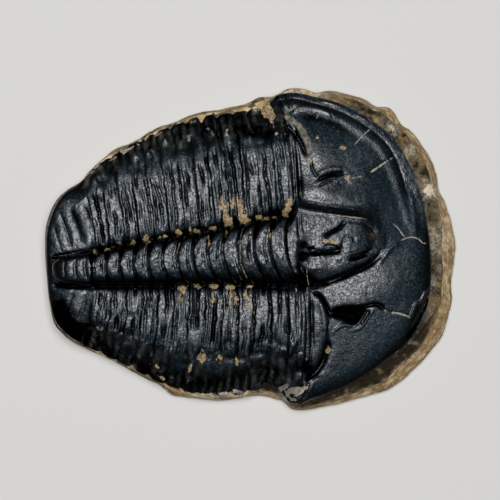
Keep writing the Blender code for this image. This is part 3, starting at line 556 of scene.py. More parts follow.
def stroke(x, y, points, width, fade=0.15, sharp=False):
    """1 on the middle of a line through the points, fading to the sides and at its ends. A sharp
    line comes to a crease in its middle."""
    line = curve_through(points) if len(points) > 2 else np.array(points, float)
    low, high = line.min(axis=0) - 3 * width, line.max(axis=0) + 3 * width
    out = np.zeros(x.shape)
    near = (x > low[0]) & (x < high[0]) & (y > low[1]) & (y < high[1])
    px, py = x[near], y[near]
    if not len(px):
        return out
    steps = np.hypot(*(line[1:] - line[:-1]).T)
    start = np.concatenate([[0], np.cumsum(steps)])
    best, along = np.full(px.shape, 1e9), np.zeros(px.shape)
    for k, (a, b) in enumerate(zip(line[:-1], line[1:])):
        way = b - a
        share = np.clip(((px - a[0]) * way[0] + (py - a[1]) * way[1]) / (way @ way), 0, 1)
        gap = np.hypot(px - a[0] - share * way[0], py - a[1] - share * way[1])
        closer = gap < best
        best = np.where(closer, gap, best)
        along = np.where(closer, (start[k] + share * steps[k]) / start[-1], along)
    ends = ease(along / fade) * ease((1 - along) / fade)
    across = crease(best, width, 1.15) if sharp else hump(best, width)
    out[near] = across * (0.25 + 0.75 * ends)
    return out


def spot(x, y, shape):
    """A rounded oval patch: X, Y, half length, half width, turn in degrees, strength."""
    at_x, at_y, long, wide, turn, strength = shape
    angle = np.radians(turn)
    u = (x - at_x) * np.cos(angle) + (y - at_y) * np.sin(angle)
    v = (y - at_y) * np.cos(angle) - (x - at_x) * np.sin(angle)
    return strength * np.exp(-((u / long) ** 2) - (v / wide) ** 2)


def patches(x, y, shapes):
    """Several rounded oval patches added up."""
    return sum(spot(x, y, shape) for shape in shapes)


def closed_outline(points, count=2400):
    """Bearing and radius about the origin of a smooth closed line through the points."""
    x, y = np.array(points).T
    bearing, radius = np.arctan2(y, x), np.hypot(x, y)
    order = np.argsort(bearing)
    bearing, radius = bearing[order], radius[order]
    turn = 2 * np.pi
    bearing = np.concatenate([bearing[-3:] - turn, bearing, bearing[:3] + turn])
    radius = np.concatenate([radius[-3:], radius, radius[:3]])
    at = np.linspace(-np.pi, np.pi, count)
    return at, smooth_curve(at, bearing, radius)


SHIELD_BEARING, SHIELD_RADIUS = closed_outline(SHIELD_OUTLINE)
SHIELD_X = SHIELD_RADIUS * np.cos(SHIELD_BEARING)
SHIELD_Y = SHIELD_RADIUS * np.sin(SHIELD_BEARING)


def shield_edge(x, left):
    """Y of the shield's left or right margin at X."""
    half = SHIELD_Y > 0 if left else SHIELD_Y < 0
    order = np.argsort(SHIELD_X[half])
    return np.interp(x, SHIELD_X[half][order], SHIELD_Y[half][order])


def axis_sides(x):
    """Y of the furrows on the left and right of the axial lobe at X."""
    return smooth_curve(x, AXIS_X, AXIS_LEFT), smooth_curve(x, AXIS_X, AXIS_RIGHT)


def past_axis(column):
    """How far a column is past the axial lobe, from 0 at its furrow to 1 at the margin."""
    return np.clip((np.abs(column) - AXIS_SHARE) / (1 - AXIS_SHARE), 0, 1)


def to_joint(station):
    """Distance in segments to the nearest joint between two segments."""
    phase = station - np.floor(station)
    return np.minimum(phase, 1 - phase)


def row_place(station, column):
    """X and Y of a point of the thorax, at a station counted in segments from the tail shield."""
    walked = PITCH_TAIL * station + (PITCH_HEAD - PITCH_TAIL) * station**2 / (2 * SEGMENTS)
    share = walked / (SEGMENTS * (PITCH_TAIL + PITCH_HEAD) / 2)
    tail = smooth_curve(column, ROW_COLUMNS, TAIL_ROW_X)
    head = smooth_curve(column, ROW_COLUMNS, HEAD_ROW_X)
    bow = RING_BOW_TAIL + (RING_BOW_HEAD - RING_BOW_TAIL) * np.clip(share, 0, None) ** 0.5
    bow = bow * np.clip(1 - (column / AXIS_SHARE) ** 2, 0, 1)
    sweep = np.where(column > 0, GENAL_SWEEP_LEFT, GENAL_SWEEP_RIGHT)
    sweep = sweep * np.clip(np.abs(column) * 5 - 4, 0, 1) ** 2 * share**14
    x = tail + (head - tail) * share - bow - sweep
    left, right = axis_sides(x)
    in_axis = (column + AXIS_SHARE) / (2 * AXIS_SHARE)
    far = past_axis(column)
    reach = far * (1 - tip_gap(station, column) * np.clip(far * 3 - 2, 0, 1))
    y = right + (left - right) * in_axis
    y = np.where(column > AXIS_SHARE, left + (shield_edge(x, True) - left) * reach, y)
    y = np.where(column < -AXIS_SHARE, right + (shield_edge(x, False) - right) * reach, y)
    return x, y


def tip_gap(station, column):
    """How far the margin draws in between two pleural tips, as a share of the pleura."""
    inside = ease(station * 4) * ease((SEGMENTS - station) * 4)
    side = np.where(column > 0, 7.5, 2.5)
    joint = np.rint(station)
    deep = 0.018 + 0.05 * np.clip(noise(joint * 1.37 + 5, side + 0 * joint, 11), 0, 1) ** 1.5
    uneven = 0.012 * rough(station * 1.7 + 3, side + 0 * station, 12)
    return inside * (deep * hump(to_joint(station), 0.17) + uneven + 0.01)


def cap_place(depth, column, station, front):
    """X and Y of a point of the head shield or tail shield: depth runs from 0 at the row where it
    meets the thorax to 1 at its far rim, and front is 1 for the head and -1 for the tail."""
    row_x, row_y = row_place(0 * depth + station, column)
    (mid_x,), (mid_y,) = row_place(np.array([float(station)]), np.array([0.0]))
    end_x, end_y = row_place(np.full(2, float(station)), np.array([-1.0, 1.0]))
    rays = np.arctan2(SHIELD_Y - mid_y, (SHIELD_X - mid_x) * front)
    reach = np.hypot(SHIELD_X - mid_x, SHIELD_Y - mid_y)
    order = np.argsort(rays)
    start = np.arctan2(end_y - mid_y, (end_x - mid_x) * front)
    side = np.where(column < 0, start[0], start[1])
    wide = np.abs(column)
    radius = np.maximum(depth, wide)
    safe = np.maximum(radius, 1e-9)
    turn = np.where(depth <= wide, 0.5 * depth / safe, 1 - 0.5 * wide / safe)
    bearing = side * (1 - turn)
    far = radius * np.interp(bearing, rays[order], reach[order], period=2 * np.pi)
    near = wide * np.interp(side, rays[order], reach[order], period=2 * np.pi)
    fade = (1 - depth) ** 2
    x = mid_x + front * far * np.cos(bearing) + (row_x - mid_x - front * near * np.cos(side)) * fade
    y = mid_y + far * np.sin(bearing) + (row_y - mid_y - near * np.sin(side)) * fade
    return x, y


def across_axis(x, y):
    """How far a point is across the axial lobe: 0 on its middle line and 1 in its furrows."""
    left, right = axis_sides(x)
    return np.abs(y - (left + right) / 2) / ((left - right) / 2)


def thorax_relief(station, column, x, y):
    """Height of the thorax, with its rings, pleural bands, fine ridges and turned-down tips."""
    along = np.clip(station / SEGMENTS, 0, 1)
    far = past_axis(column)
    wander = 0.1 * rough(column * 6, station * 0.9, 21) + 0.045 * noise(column * 22, station * 2.2, 22)
    wander = wander * (0.35 + 0.65 * ease(far * 6))
    station = station + wander * ease(np.minimum(station, SEGMENTS - station) * 2)
    base = FURROW_TOP_TAIL + (FURROW_TOP_HEAD - FURROW_TOP_TAIL) * along
    pleura = pleura_relief(station, column, x, y, along, far, base)
    lobe = lobe_relief(station, column, x, y, along, base)
    z = np.where(np.abs(column) < AXIS_SHARE, lobe, pleura)
    return np.maximum(z, UNDERSIDE + 0.2)


def segment_number(station, column):
    """A number for each segment, other ones on the left side than on the right."""
    return np.floor(station) + 40 * (column > 0)


def pleura_relief(station, column, x, y, along, far, base):
    """Height of the pleurae, level as far as their bend and turned down beyond it."""
    left_side = column > 0
    side = np.where(left_side, 1.0, -1.0)
    number = segment_number(station, column)
    bend = np.where(left_side, 0.8 - 0.17 * along, 0.58 - 0.05 * along)
    bend = bend + 0.035 * noise(number * 2.7, side * 2, 23) + 0.03 * rough(station * 3.1, side * 9, 24)
    soft = 0.04
    fall = soft * np.logaddexp(0, (far - bend) / soft)
    fall_end = soft * np.logaddexp(0, (1 - bend) / soft)
    gentle = np.where(left_side, 0.6 - 0.3 * along, 0.06)
    top = base + 0.5 + 0.1 * np.sin(np.pi * np.clip(far / bend, 0, 1))
    top = top - gentle * np.clip((far - 0.25) / (bend - 0.25), 0, 1) ** 1.4
    pleura = top + (MARGIN_TOP - top) * np.clip(fall / fall_end, 0, 1) ** 0.95
    pleura = pleura - 0.5 * np.exp(-far / 0.035)
    slope_part = ease((far - bend + 0.06) / 0.16)
    messy = slope_part * (0.26 * rough(x, y * 1.1, 44) + 0.07 * rough(x * 2.6, y * 2.2, 45))
    facet = (0.12 + 0.16 * noise(number * 4.1, side * 3, 46)) * hump(station - np.floor(station) - 0.45, 0.2)
    facet = facet * hump(far - bend - 0.17, 0.07)
    worn = 0.02 * rough(x * 2.1, y * 1.1, 41) + 0.008 * rough(x * 4.5, y * 2.2, 43)
    pleura = pleura + pleura_lines(station, column, y, far, slope_part) + worn
    return pleura + messy * ease((1 - far) * 12) + facet + patches(x, y, TIP_BEADS)


def pleura_lines(station, column, y, far, slope_part):
    """Height that joint grooves, overlaps, fine ribs and chips add to the pleurae."""
    phase = station - np.floor(station)
    number = segment_number(station, column)
    groove_wide = (0.05 + 0.06 * slope_part) * (1 + 0.4 * noise(number * 1.9, far * 9, 29))
    strength = np.clip(0.55 + 0.8 * noise(number * 1.9, far * 5, 30), 0.15, 1.2)
    groove = (0.26 + 0.12 * slope_part) * strength * crease(to_joint(station), groove_wide, 1.3)
    overlap = 0.1 * (0.5 - phase) * (1 - 0.5 * slope_part)
    lines = 0.22 * np.clip(noise(station * 2.4 + 0.2 * y, y * 0.75, 38) - 0.42, 0, 1) * ease(far * 8)
    for at, lean, deep, wide, seed in RIB_LINES:
        line_at = at + lean * far + 0.07 * noise(number * 1.3, far * 3.5, seed)
        line_on = np.clip(deep * (0.7 + 1.3 * noise(number * 3.3, far * 6.5, seed + 1)), 0, 1)
        lines = lines + line_on * crease(phase - line_at, wide, 1.4)
    return overlap - groove - lines * (1 - 0.6 * slope_part)


def lobe_relief(station, column, x, y, along, base):
    """Height of the axial lobe, with its ring grooves, collars and dents."""
    phase = station - np.floor(station)
    joint = to_joint(station)
    number = segment_number(station, column)
    aside = np.clip(np.abs(column) / AXIS_SHARE, 0, 1)
    flank = aside**2
    left_arch = 1 - 0.16 * flank - 0.84 * aside**7
    right_arch = np.clip(1 - aside**3, 0, 1) ** 0.9
    lobe = base + 0.02 + (1.35 + 0.75 * along) * 0.93 * np.where(column > 0, left_arch, right_arch)
    uneven = 1 + 0.55 * noise(number * 2.1, column * 14, 50)
    ring_groove = (0.15 + 0.2 * flank) * crease(joint, (0.045 + 0.08 * flank) * uneven, 1.3)
    collar_on = np.clip(0.06 + 0.1 * noise(number * 3.1, column * 9, 47), 0, 1)
    collar = collar_on * crease(phase - 0.66, 0.06, 1.4)
    bow = 0.035 * np.sin(np.pi * np.clip(phase * 1.1, 0, 1)) * (1 - aside**4)
    dents = 0.55 * hump(joint, 0.13) * hump(column / AXIS_SHARE - 0.8, 0.2)
    worn = 0.085 * rough(x * 1.7, y * 1.4, 48) + 0.018 * rough(x * 4.5, y * 4, 49)
    return lobe - ring_groove - collar + bow - dents + worn * (1 - aside**6)


def tail_relief(depth, column, x, y):
    """Height of the tail shield: a smooth dome with faint ribs, and the end of the axis."""
    radius = np.maximum(depth, np.abs(column))
    left_base = smooth_curve(radius, TAIL_RADII, TAIL_LEFT)
    right_base = smooth_curve(radius, TAIL_RADII, TAIL_RIGHT)
    base = right_base + (left_base - right_base) * ease(0.5 + column * 4)
    base = base - 0.4 * ease((np.abs(column) - 0.76) * 4.2) * ease(1 - depth * 2.4)
    across = across_axis(x, y)
    base = base + 0.03 * rough(x * 1.5, y * 1.5, 61)
    grooves = sum(deep * stroke(x, y, points, width, 0.25, True) for points, width, deep in TAIL_GROOVES)
    tail_end = np.clip((AXIS_TAIL_X + 2.0 - x) / 2.0, 0, 2)
    left = y > sum(axis_sides(x)) / 2
    inside = np.clip(1 - np.where(left, across**5, across**2.6) - tail_end**2, 0, 1)
    top = smooth_curve(x, TAIL_LOBE_X, TAIL_LOBE_TOP)
    lobe = np.clip(top - base, 0, None) * inside**0.75
    furrow = 0.3 * crease(across - 1.06, 0.15)
    furrow = furrow * ease((0.96 - radius) * 6) * ease((x + 20.2) * 1.2)
    return base + lobe - grooves - furrow + 0.012 * rough(x * 5, y * 5, 63)


def head_relief(depth, column, x, y):
    """Height of the head shield, with its glabella, eyes, sutures, cracks and raised rim."""
    radius = np.maximum(depth, np.abs(column))
    swelling, glabella, cheek_swell = glabella_relief(x, y)
    height = head_profile(radius, x, y) + swelling + cheek_swell
    height = height - 0.35 * crease(depth, 0.014)
    behind = ease(np.abs(column) * 6 - 1.3)
    height = height - 0.14 * behind * crease(depth - 0.08, 0.016)
    height = height + head_landmarks(radius, x, y)
    worn = 0.035 * rough(x * 1.3, y * 1.3, 71) + 0.016 * rough(x * 3.4, y * 3.4, 73)
    cheek = 0.03 * rough(x * 0.7, y * 0.7, 75) + 0.006 * rough(x * 3, y * 3, 77)
    border = 0.025 * rough(x * 2.4, y * 2.4, 79) * ease((radius - 0.9) * 20)
    return height + worn * np.maximum(glabella, 0.7 * hump(depth, 0.25)) + cheek + border


def head_profile(radius, x, y):
    """Height of the head shield without its glabella: cheeks, level parts, border furrow and rim."""
    bearing = np.degrees(np.arctan2(y, x))
    wavy = radius + 0.006 * rough(bearing / 7 + 30, 0 * bearing, 70) * ease((radius - 0.8) * 8)
    wavy = wavy + 0.035 * hump(bearing - 20, 14) * ease((radius - 0.6) * 4) * ease((1 - radius) * 12)
    height = smooth_curve(wavy, HEAD_RADII, LEFT_HEIGHTS)
    right_height = smooth_curve(wavy, HEAD_RADII, RIGHT_HEIGHTS)
    height = height + (right_height - height) * ease((14 - bearing) / 16)
    for *place, level in HEAD_LEVELS:
        height = height + (level - height) * spot(x, y, (*place, 1.0))
    upturn = np.clip(0.7 + 1.2 * rough(bearing / 3 + 9, 0 * bearing, 69), 0, 1.2)
    upturn = upturn * ease((bearing - 41) / 6) * ease((68 - bearing) / 6)
    height = height + 0.07 * upturn * hump(wavy - 0.98, 0.009)
    return height - 0.11 * ease((bearing - 14) / 12) * crease(wavy - 0.948, 0.014)


def glabella_relief(x, y):
    """Height of the glabella above the cheeks, where it is (from 0 to 1), and the swell beside it."""
    across = across_axis(x, y)
    middle = sum(axis_sides(x)) / 2
    ridge_y = smooth_curve(x, RIDGE_X, RIDGE_Y)
    crown = smooth_curve(x, CROWN_X, CROWN_HEIGHT)
    reach = 1.1 + 1.3 * ease((x - 10.5) / 2)
    foot = np.clip((ridge_y + reach - y) / (reach + 0.1), 0, 1)
    foot = 0.6 * foot + 0.4 * ease(foot)
    dome = np.clip(1 - across**2, 0, 1)
    step = np.minimum(0.62, crown)
    left_side = step * foot + (crown - step) * dome
    right_side = crown * np.clip(1 - across**4, 0, 1) ** 0.45
    swelling = left_side + (right_side - left_side) * ease((middle + 0.2 - y) / 0.4)
    cheek_swell = 0.12 * hump(y - ridge_y - 1.7, 0.9) * (y > middle) * ease((12 - x) / 4)
    return swelling, ease(3 * swelling / np.maximum(crown, 0.2)), cheek_swell


def head_landmarks(radius, x, y):
    """Height that grooves, ridges, lumps and pits add to the head shield."""
    height = -sum(deep * stroke(x, y, points, width, sharp=True) for points, width, deep in HEAD_GROOVES)
    height = height + sum(high * stroke(x, y, points, width) for points, width, high in HEAD_RIDGES)
    inner = 0.25 + 0.75 * ease((0.9 - radius) / 0.06)
    for *place, high in HEAD_LUMPS:
        share = spot(x, y, (*place, 1.0))
        height = height + high * inner * (share**0.75 if high < 0 else share)
    return height


def blur(field, reach):
    """Mean of a grid over a square of 2 * reach + 1 cells."""
    for axis in (0, 1):
        padded = np.concatenate([
            np.repeat(np.take(field, [0], axis), reach + 1, axis), field,
            np.repeat(np.take(field, [-1], axis), reach, axis)], axis)
        total = np.cumsum(padded, axis)
        count = field.shape[axis]
        high = np.take(total, range(2 * reach + 1, 2 * reach + 1 + count), axis)
        low = np.take(total, range(count), axis)
        field = (high - low) / (2 * reach + 1)
    return field


def slope_of(x, y, z):
    """Slope of a surface at each point of its grid, in degrees."""
    along = [np.gradient(axis, axis=0) for axis in (x, y, z)]
    across = [np.gradient(axis, axis=1) for axis in (x, y, z)]
    normal = [along[i - 2] * across[i - 1] - along[i - 1] * across[i - 2] for i in range(3)]
    length = np.sqrt(normal[0] ** 2 + normal[1] ** 2 + normal[2] ** 2)
    return np.degrees(np.arccos(np.clip(np.abs(normal[2]) / np.maximum(length, 1e-9), 0, 1)))


def shield_masks(x, y, z):
    """Where the shield is steep, shaded, calm, raised, hollow, muddy, grey, pale, rusty or coated
    with matrix, each from 0 to 1."""
    high = z - blur(z, int(5 * DETAIL) + 1)
    hollow = ease(-high / 0.12)
    slope = slope_of(x, y, blur(z, 1))
    shade = patches(x, y, SHADE_SPOTS) * 1.5 - 0.3 + 0.45 * rough(x * 2.2, y * 2.2, 90)
    dim = sum(deep * stroke(x, y, points, width) for points, width, deep in SHADE_STROKES)
    dim = dim * (1 + 0.35 * rough(x * 1.3, y * 1.3, 89))
    dim = dim - sum(spot(x, y, (*bead[:5], 1.3)) for bead in TIP_BEADS)
    mottle = rough(x * 2.2, y * 2.2, 91)
    crumbs = rough(x * 5, y * 5, 93)
    uneven_x = x + 0.17 * rough(x * 2.6, y * 2.6, 95)
    uneven_y = y + 0.17 * rough(uneven_x * 2.6, y * 2.6, 97)
    mud = patches(uneven_x, uneven_y, MUD_SPOTS)
    mud = mud * 1.5 * (1 + 0.5 * mottle + 0.5 * crumbs) - 0.3 + 0.25 * hollow * (mud > 0.15)
    grey = np.max([stroke(x, y, points, width) for points, width in GREY_STROKES], axis=0)
    pale = np.max([stroke(x, y, points, width) for points, width in PALE_STROKES], axis=0)
    pale = pale * np.clip(0.95 + 0.9 * crumbs, 0, 1)
    rust = patches(uneven_x, uneven_y, RUST_SPOTS) * (1 + 0.5 * mottle)
    coat = patches(uneven_x, uneven_y, COAT_SPOTS) * (1 + 0.7 * mottle)
    crust = sum(stroke(uneven_x, uneven_y, points, width) for points, width in COAT_STROKES)
    coat = coat + crust * np.clip(0.55 + 1.1 * mottle + 0.5 * crumbs, 0, 1)
    return {
        "steep": ease((slope - 13) / 25),
        # Painted shade: steep walls, the shade spots and the shade strokes, made black and metallic in the
        # material
        "wall": np.max([ease((slope - 33) / 12), ease(shade), np.clip(dim, 0, 1)], axis=0),
        "calm": np.clip(patches(x, y, CALM_SPOTS), 0, 1),
        "crest": ease(high / 0.1),
        "hollow": hollow,
        "mud": ease(mud),
        "grey": ease(grey * 1.6 - 0.3),
        "pale": ease(pale * 1.4 - 0.2),
        "rust": np.clip(rust, 0, 1),
        "coat": ease(coat * 2 - 0.5),
    }


def make_shield_piece(name, x, y, z, material, rib_highlights=0.0):
    """A closed mesh from a grid of points, with walls down to the shield's flat underside."""
    masks = {"rib_highlights": rib_highlights + 0 * x, **shield_masks(x, y, z)}
    rows, columns = x.shape
    index = np.arange(rows * columns).reshape(rows, columns)
    loop = np.concatenate([index[0], index[1:, -1], index[-1, -2::-1], index[-2:0:-1, 0]])
    top = np.stack([x, y, z], axis=-1).reshape(-1, 3)
    low = top[loop].copy()
    low[:, 2] = UNDERSIDE
    under = len(top) + np.arange(len(loop))
    walls = np.stack([loop, np.roll(loop, -1), np.roll(under, -1), under], axis=1)
    corners = (index[:-1, :-1], index[1:, :-1], index[1:, 1:], index[:-1, 1:])
    quads = np.stack([corner.ravel() for corner in corners], axis=1)
    faces = [tuple(face) for face in [*quads.tolist(), *walls.tolist(), under[::-1].tolist()]]
    add_object(name, np.concatenate([top, low]), faces, masks, material, "trilobite")


def add_object(name, points, faces, masks, material, node):
    """Put a mesh in the scene with its masks, riding on the stone in place of a CAD node. Points
    after those that the masks cover get 0."""
    mesh = bpy.data.meshes.new(name)
    points = points + np.array(CENTRING)
    points[:, 2] = np.minimum(points[:, 2], CAD_TOP)
    mesh.from_pydata((points * MM).tolist(), [], faces)
    for key, values in masks.items():
        layer = mesh.attributes.new(key, "FLOAT", "POINT")
        layer.data.foreach_set("value", np.append(values, np.zeros(len(points) - values.size)))
    mesh.materials.append(material)
    mesh.shade_smooth()
    mesh.set_sharp_from_angle(angle=np.radians(SHARP_ANGLE))
    mesh.validate()
    piece = bpy.data.objects.new(name, mesh)
    bpy.context.scene.collection.objects.link(piece)
    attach(piece, "root")
    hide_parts(node)


def grid(first_row, last_row, size):
    """Rows, from the first to the last, and columns, from -1 to 1, of a piece's grid of points."""
    rows, columns = (int(count * DETAIL) for count in size)
    return np.meshgrid(np.linspace(first_row, last_row, rows), np.linspace(-1, 1, columns), indexing="ij")


def tip_rib_highlights(station, column):
    """Painted highlights on faint ribs along the turned-down tips of the pleurae, from 0 to 1."""
    along = np.clip(station / SEGMENTS, 0, 1)
    far = past_axis(column)
    bend = np.where(column > 0, 0.76 - 0.17 * along, 0.58 - 0.05 * along)
    wander = 0.12 * rough(column * 8, station * 0.9, 27)
    rib_highlights = 0.5 + 0.5 * np.cos(4 * np.pi * (station + wander + 0.2))
    broken = ease(0.6 + 1.1 * rough(station * 1.6, column * 12, 28))
    return rib_highlights * broken * ease((far - bend) / 0.12) * ease((1 - far) / 0.06)


def make_thorax(material):
    """The 13 segments between head and tail."""
    station, column = grid(0, SEGMENTS, THORAX_GRID)
    x, y = row_place(station, column)
    z = thorax_relief(station, column, x, y)
    inner = ease(station * 2) * ease((SEGMENTS - station) * 2) * ease((1 - np.abs(column)) * 30)
    z = z + (blur(z, 3) - z) * inner * ease((np.abs(column) - 0.66) / 0.12)
    make_shield_piece("thorax", x, y, z, material, tip_rib_highlights(station, column))


def make_cap(name, place, relief, station, front, seam_width, material):
    """The head or tail shield: its relief runs into that of the thorax where they meet."""
    depth, column = place
    x, y = cap_place(depth, column, station, front)
    z = relief(depth, column, x, y)
    seam = thorax_relief(0 * depth + station, column, *row_place(0 * depth + station, column))
    z = z + (seam - z) * hump(depth, seam_width)
    make_shield_piece(name, x, y, z, material)


def bed_layers(turn, share):
    """Thin layers of calcite that crop out on the slope, from -1 to 1."""
    return noise(turn * 14 + 400, share * 34 + 2 * rough(turn * 9, share * 3, 110), 109)


def bed_profile(bearing):
    """The bed from under the shield out to its foot: share of the way, radius and height."""
    shield = np.interp(bearing, SHIELD_BEARING, SHIELD_RADIUS)
    brim = np.maximum(np.interp(bearing, *closed_outline(BED_OUTLINE)), shield + 0.12) - 0.02
    ledge = shield + (brim - shield) * np.interp(np.degrees(bearing), *np.array(LEDGE_SHARE).T)
    ledge = ledge + (brim - ledge) * 0.16 * rough(bearing * 9 + 20, 0 * bearing, 101)
    wall = brim - ledge
    return [
        (0.0, shield - 2.4, 2.2),
        (0.12, shield - 0.6, 2.36),
        (0.2, shield - 0.02, 2.34),
        (0.45, ledge - 0.1 * (ledge - shield), 2.12),
        (0.52, ledge + 0.06 * wall, 1.98),
        (0.62, ledge + 0.3 * wall, 1.7),
        (0.8, brim - 0.16 * wall, 1.0),
        (0.88, brim, 0.62),
        (0.94, brim - 0.12, 0.25),
        (1.0, brim - 0.47, 0.0),
    ]


def make_matrix(material):
    """The matrix bed: ledge, sloping wall and ground underside, as rings about the middle."""
    bearing = np.linspace(-np.pi, np.pi, int(BED_BEARINGS * DETAIL), endpoint=False)
    shares, radii, heights = zip(*bed_profile(bearing))
    radii = np.array(radii).T
    rings = np.linspace(0, 1, int(BED_RINGS * DETAIL))
    radius = np.array([[np.interp(ring, shares, column) for column in radii] for ring in rings])
    share, turn = np.meshgrid(rings, bearing, indexing="ij")
    z = np.interp(share, shares, heights)
    x, y = radius * np.cos(turn), radius * np.sin(turn)
    on_ledge = ease((share - 0.1) / 0.1) * ease((0.55 - share) / 0.1)
    on_wall = ease((share - 0.45) / 0.15) * ease((0.99 - share) / 0.08)
    z = z + on_ledge * (0.16 * rough(x * 0.9, y * 0.9, 103) + 0.07 * rough(x * 3.2, y * 3.2, 105))
    z = z + on_wall * (0.08 * rough(x * 1.1, y * 1.1, 107) + 0.03 * rough(x * 4, y * 4, 108))
    z = z - patches(x, y, LEDGE_PITS)
    worn = 0.07 + 0.06 * rough(x, y, 111) + 0.03 * bed_layers(turn, share) + 0.03 * rough(x * 3, y * 3, 112)
    radius = radius - on_wall * worn
    x, y = radius * np.cos(turn), radius * np.sin(turn)

    # The ground underside, from the foot of the bed to its middle
    under = int(UNDERSIDE_RINGS * DETAIL)
    inward = 1 - np.arange(1, under)[:, None] / under
    low_x, low_y = x[-1] * inward, y[-1] * inward
    lift = 0.16 + 0.1 * rough(low_x * 0.6, low_y * 0.6, 113) + 0.05 * rough(low_x * 2, low_y * 2, 115)
    x = np.concatenate([x, low_x])
    y = np.concatenate([y, low_y])
    z = np.clip(np.concatenate([z, lift * ease((1 - inward) * 8)]), 0, None)
    share = np.concatenate([share, np.ones(low_x.shape)])

    index = np.arange(x.size).reshape(x.shape)
    beside = np.roll(index, -1, axis=1)
    corners = (index[:-1], index[1:], beside[1:], beside[:-1])
    quads = np.stack([corner.ravel() for corner in corners], axis=1)
    faces = [tuple(face) for face in [*quads.tolist(), index[0].tolist(), index[-1][::-1].tolist()]]
    points = np.stack([x, y, z], axis=-1).reshape(-1, 3)
    add_object("matrix_bed", points, faces, bed_masks(x, y, z, share), material, "matrix")


def bed_masks(x, y, z, share):
    """Where the matrix is brown, ochre, dark (painted shade, with real dark cracks), layered or pale, each
    from 0 to 1.
    """
    mottle = rough(x * 1.7, y * 1.7, 121)
    blotch = rough(x * 0.8 + 9, y * 0.8, 123)
    dirt = rough(x * 0.9 + 3 + 0.9 * z, y * 0.9 - 1.3 * z, 125)
    turn = np.arctan2(y, x)
    bearing = np.degrees(turn)
    at_head = ease((bearing + 88) / 10) * ease((72 - bearing) / 12)
    lower_right = ease((-12 - bearing) / 14) * ease((bearing + 80) / 14)
    cracks = sum(stroke(x + 0.1 * mottle, y + 0.1 * blotch, points, 0.07) for points in LEDGE_CRACKS)
    cracks = cracks * ease((0.55 - share) / 0.03)
    patch = patches(x, y, PALE_PATCHES)
    edge = 0.5 + 0.03 * blotch + 0.05 * lower_right * ease((-40 - bearing) / 25)
    brown = ease((edge - share) / 0.04 + 0.9 * mottle + 0.3) * at_head * ease(1.25 - patch)
    flank = (1 - at_head) * ease(0.5 + 2.2 * dirt - 1.2 * patch) * ease((0.9 - share) / 0.2)
    seam = hump(share - 0.54 - 0.02 * mottle, 0.025) * at_head
    ochre = patches(x, y, OCHRE_SPOTS) * (1 + 0.5 * mottle)
    ochre = ochre + 1.3 * cracks + 0.9 * seam * ease(0.7 + blotch)
    # Painted shade in the ledge's pits, in the notch and on the lower right of the ledge; the cracks add
    # real dark lines
    dark = 5 * patches(x, y, LEDGE_PITS) + patches(x, y, NOTCH_SPOTS) * (1 + 0.5 * mottle)
    dark = dark + 0.92 * lower_right * ease(1.0 + 1.1 * mottle) * ease((0.46 - share) / 0.05)
    thin = noise(turn * 5 + 90, share * 60 + 3 * rough(turn * 7, share * 4, 127), 129)
    layers = np.maximum(0.7 * ease(0.5 + 1.2 * bed_layers(turn, share)), ease(thin * 2.2 - 0.5))
    return {
        "brown": np.clip(brown + 0.8 * flank, 0, 1),
        "ochre": np.clip(ochre, 0, 1),
        "dark": np.clip(dark + 0.5 * cracks, 0, 1),
        "layers": layers * ease((share - 0.5) / 0.05) * ease((z - 0.3) / 0.2),
        "pale": np.clip(patch, 0, 1),
    }


class Nodes:
    """Short names for the nodes of one material."""

    def __init__(self, name):
        self.material = bpy.data.materials.new(name)
        self.material.use_nodes = True
        self.tree = self.material.node_tree
        self.shader = self.tree.nodes["Principled BSDF"]
        coords = self.tree.nodes.new("ShaderNodeTexCoord")
        self.place = coords.outputs["Object"]

    def link(self, value, socket):
        """Feed a socket from another socket, or set it to a number or colour."""
        if hasattr(value, "is_linked"):
            self.tree.links.new(value, socket)
        else:
            socket.default_value = value

    def mask(self, name):
        """The value of one of the mesh's masks."""
        node = self.tree.nodes.new("ShaderNodeAttribute")
        node.attribute_name = name
        return node.outputs["Fac"]

    def speckle(self, scale, detail, roughness):
        """Noise from 0 to 1: number of bumps to a metre, levels of finer noise, their strength."""
        node = self.tree.nodes.new("ShaderNodeTexNoise")
        node.inputs["Scale"].default_value = scale
        node.inputs["Detail"].default_value = detail
        node.inputs["Roughness"].default_value = roughness
        self.tree.links.new(self.place, node.inputs["Vector"])
        return node.outputs["Fac"]

    def math(self, operation, a, b=0.0, clamp=False):
        """Two values put together, and kept from 0 to 1 if clamp is on."""
        node = self.tree.nodes.new("ShaderNodeMath")
        node.operation = operation
        node.use_clamp = clamp
        self.link(a, node.inputs[0])
        self.link(b, node.inputs[1])
        return node.outputs["Value"]

    def times(self, a, b):
        """The product of two values."""
        return self.math("MULTIPLY", a, b)

    def plus(self, a, b):
        """The sum of two values."""
        return self.math("ADD", a, b)

    def rest(self, value):
        """1 minus a value."""
        return self.math("SUBTRACT", 1.0, value)

    def span(self, value, low, high, out_low=0.0, out_high=1.0):
        """A smooth step from one value to another, between two limits of the value fed in."""
        node = self.tree.nodes.new("ShaderNodeMapRange")
        node.interpolation_type = "SMOOTHSTEP"
        limits = {"From Min": low, "From Max": high, "To Min": out_low, "To Max": out_high}
        for socket, number in limits.items():
            node.inputs[socket].default_value = number
        self.tree.links.new(value, node.inputs["Value"])
        return node.outputs["Result"]

    def mix(self, factor, a, b):
        """From colour a at factor 0 to colour b at factor 1."""
        node = self.tree.nodes.new("ShaderNodeMix")
        node.data_type = "RGBA"
        self.link(factor, node.inputs["Factor"])
        for value, socket in ((a, node.inputs["A"]), (b, node.inputs["B"])):
            self.link((*value, 1.0) if isinstance(value, tuple) else value, socket)
        return node.outputs["Result"]

    def bump(self, height, distance, strength=1.0, below=None):
        """Fine relief of some metres on top of the relief below it."""
        node = self.tree.nodes.new("ShaderNodeBump")
        node.inputs["Strength"].default_value = strength
        node.inputs["Distance"].default_value = distance
        self.tree.links.new(height, node.inputs["Height"])
        if below is not None:
            self.tree.links.new(below, node.inputs["Normal"])
        return node.outputs["Normal"]


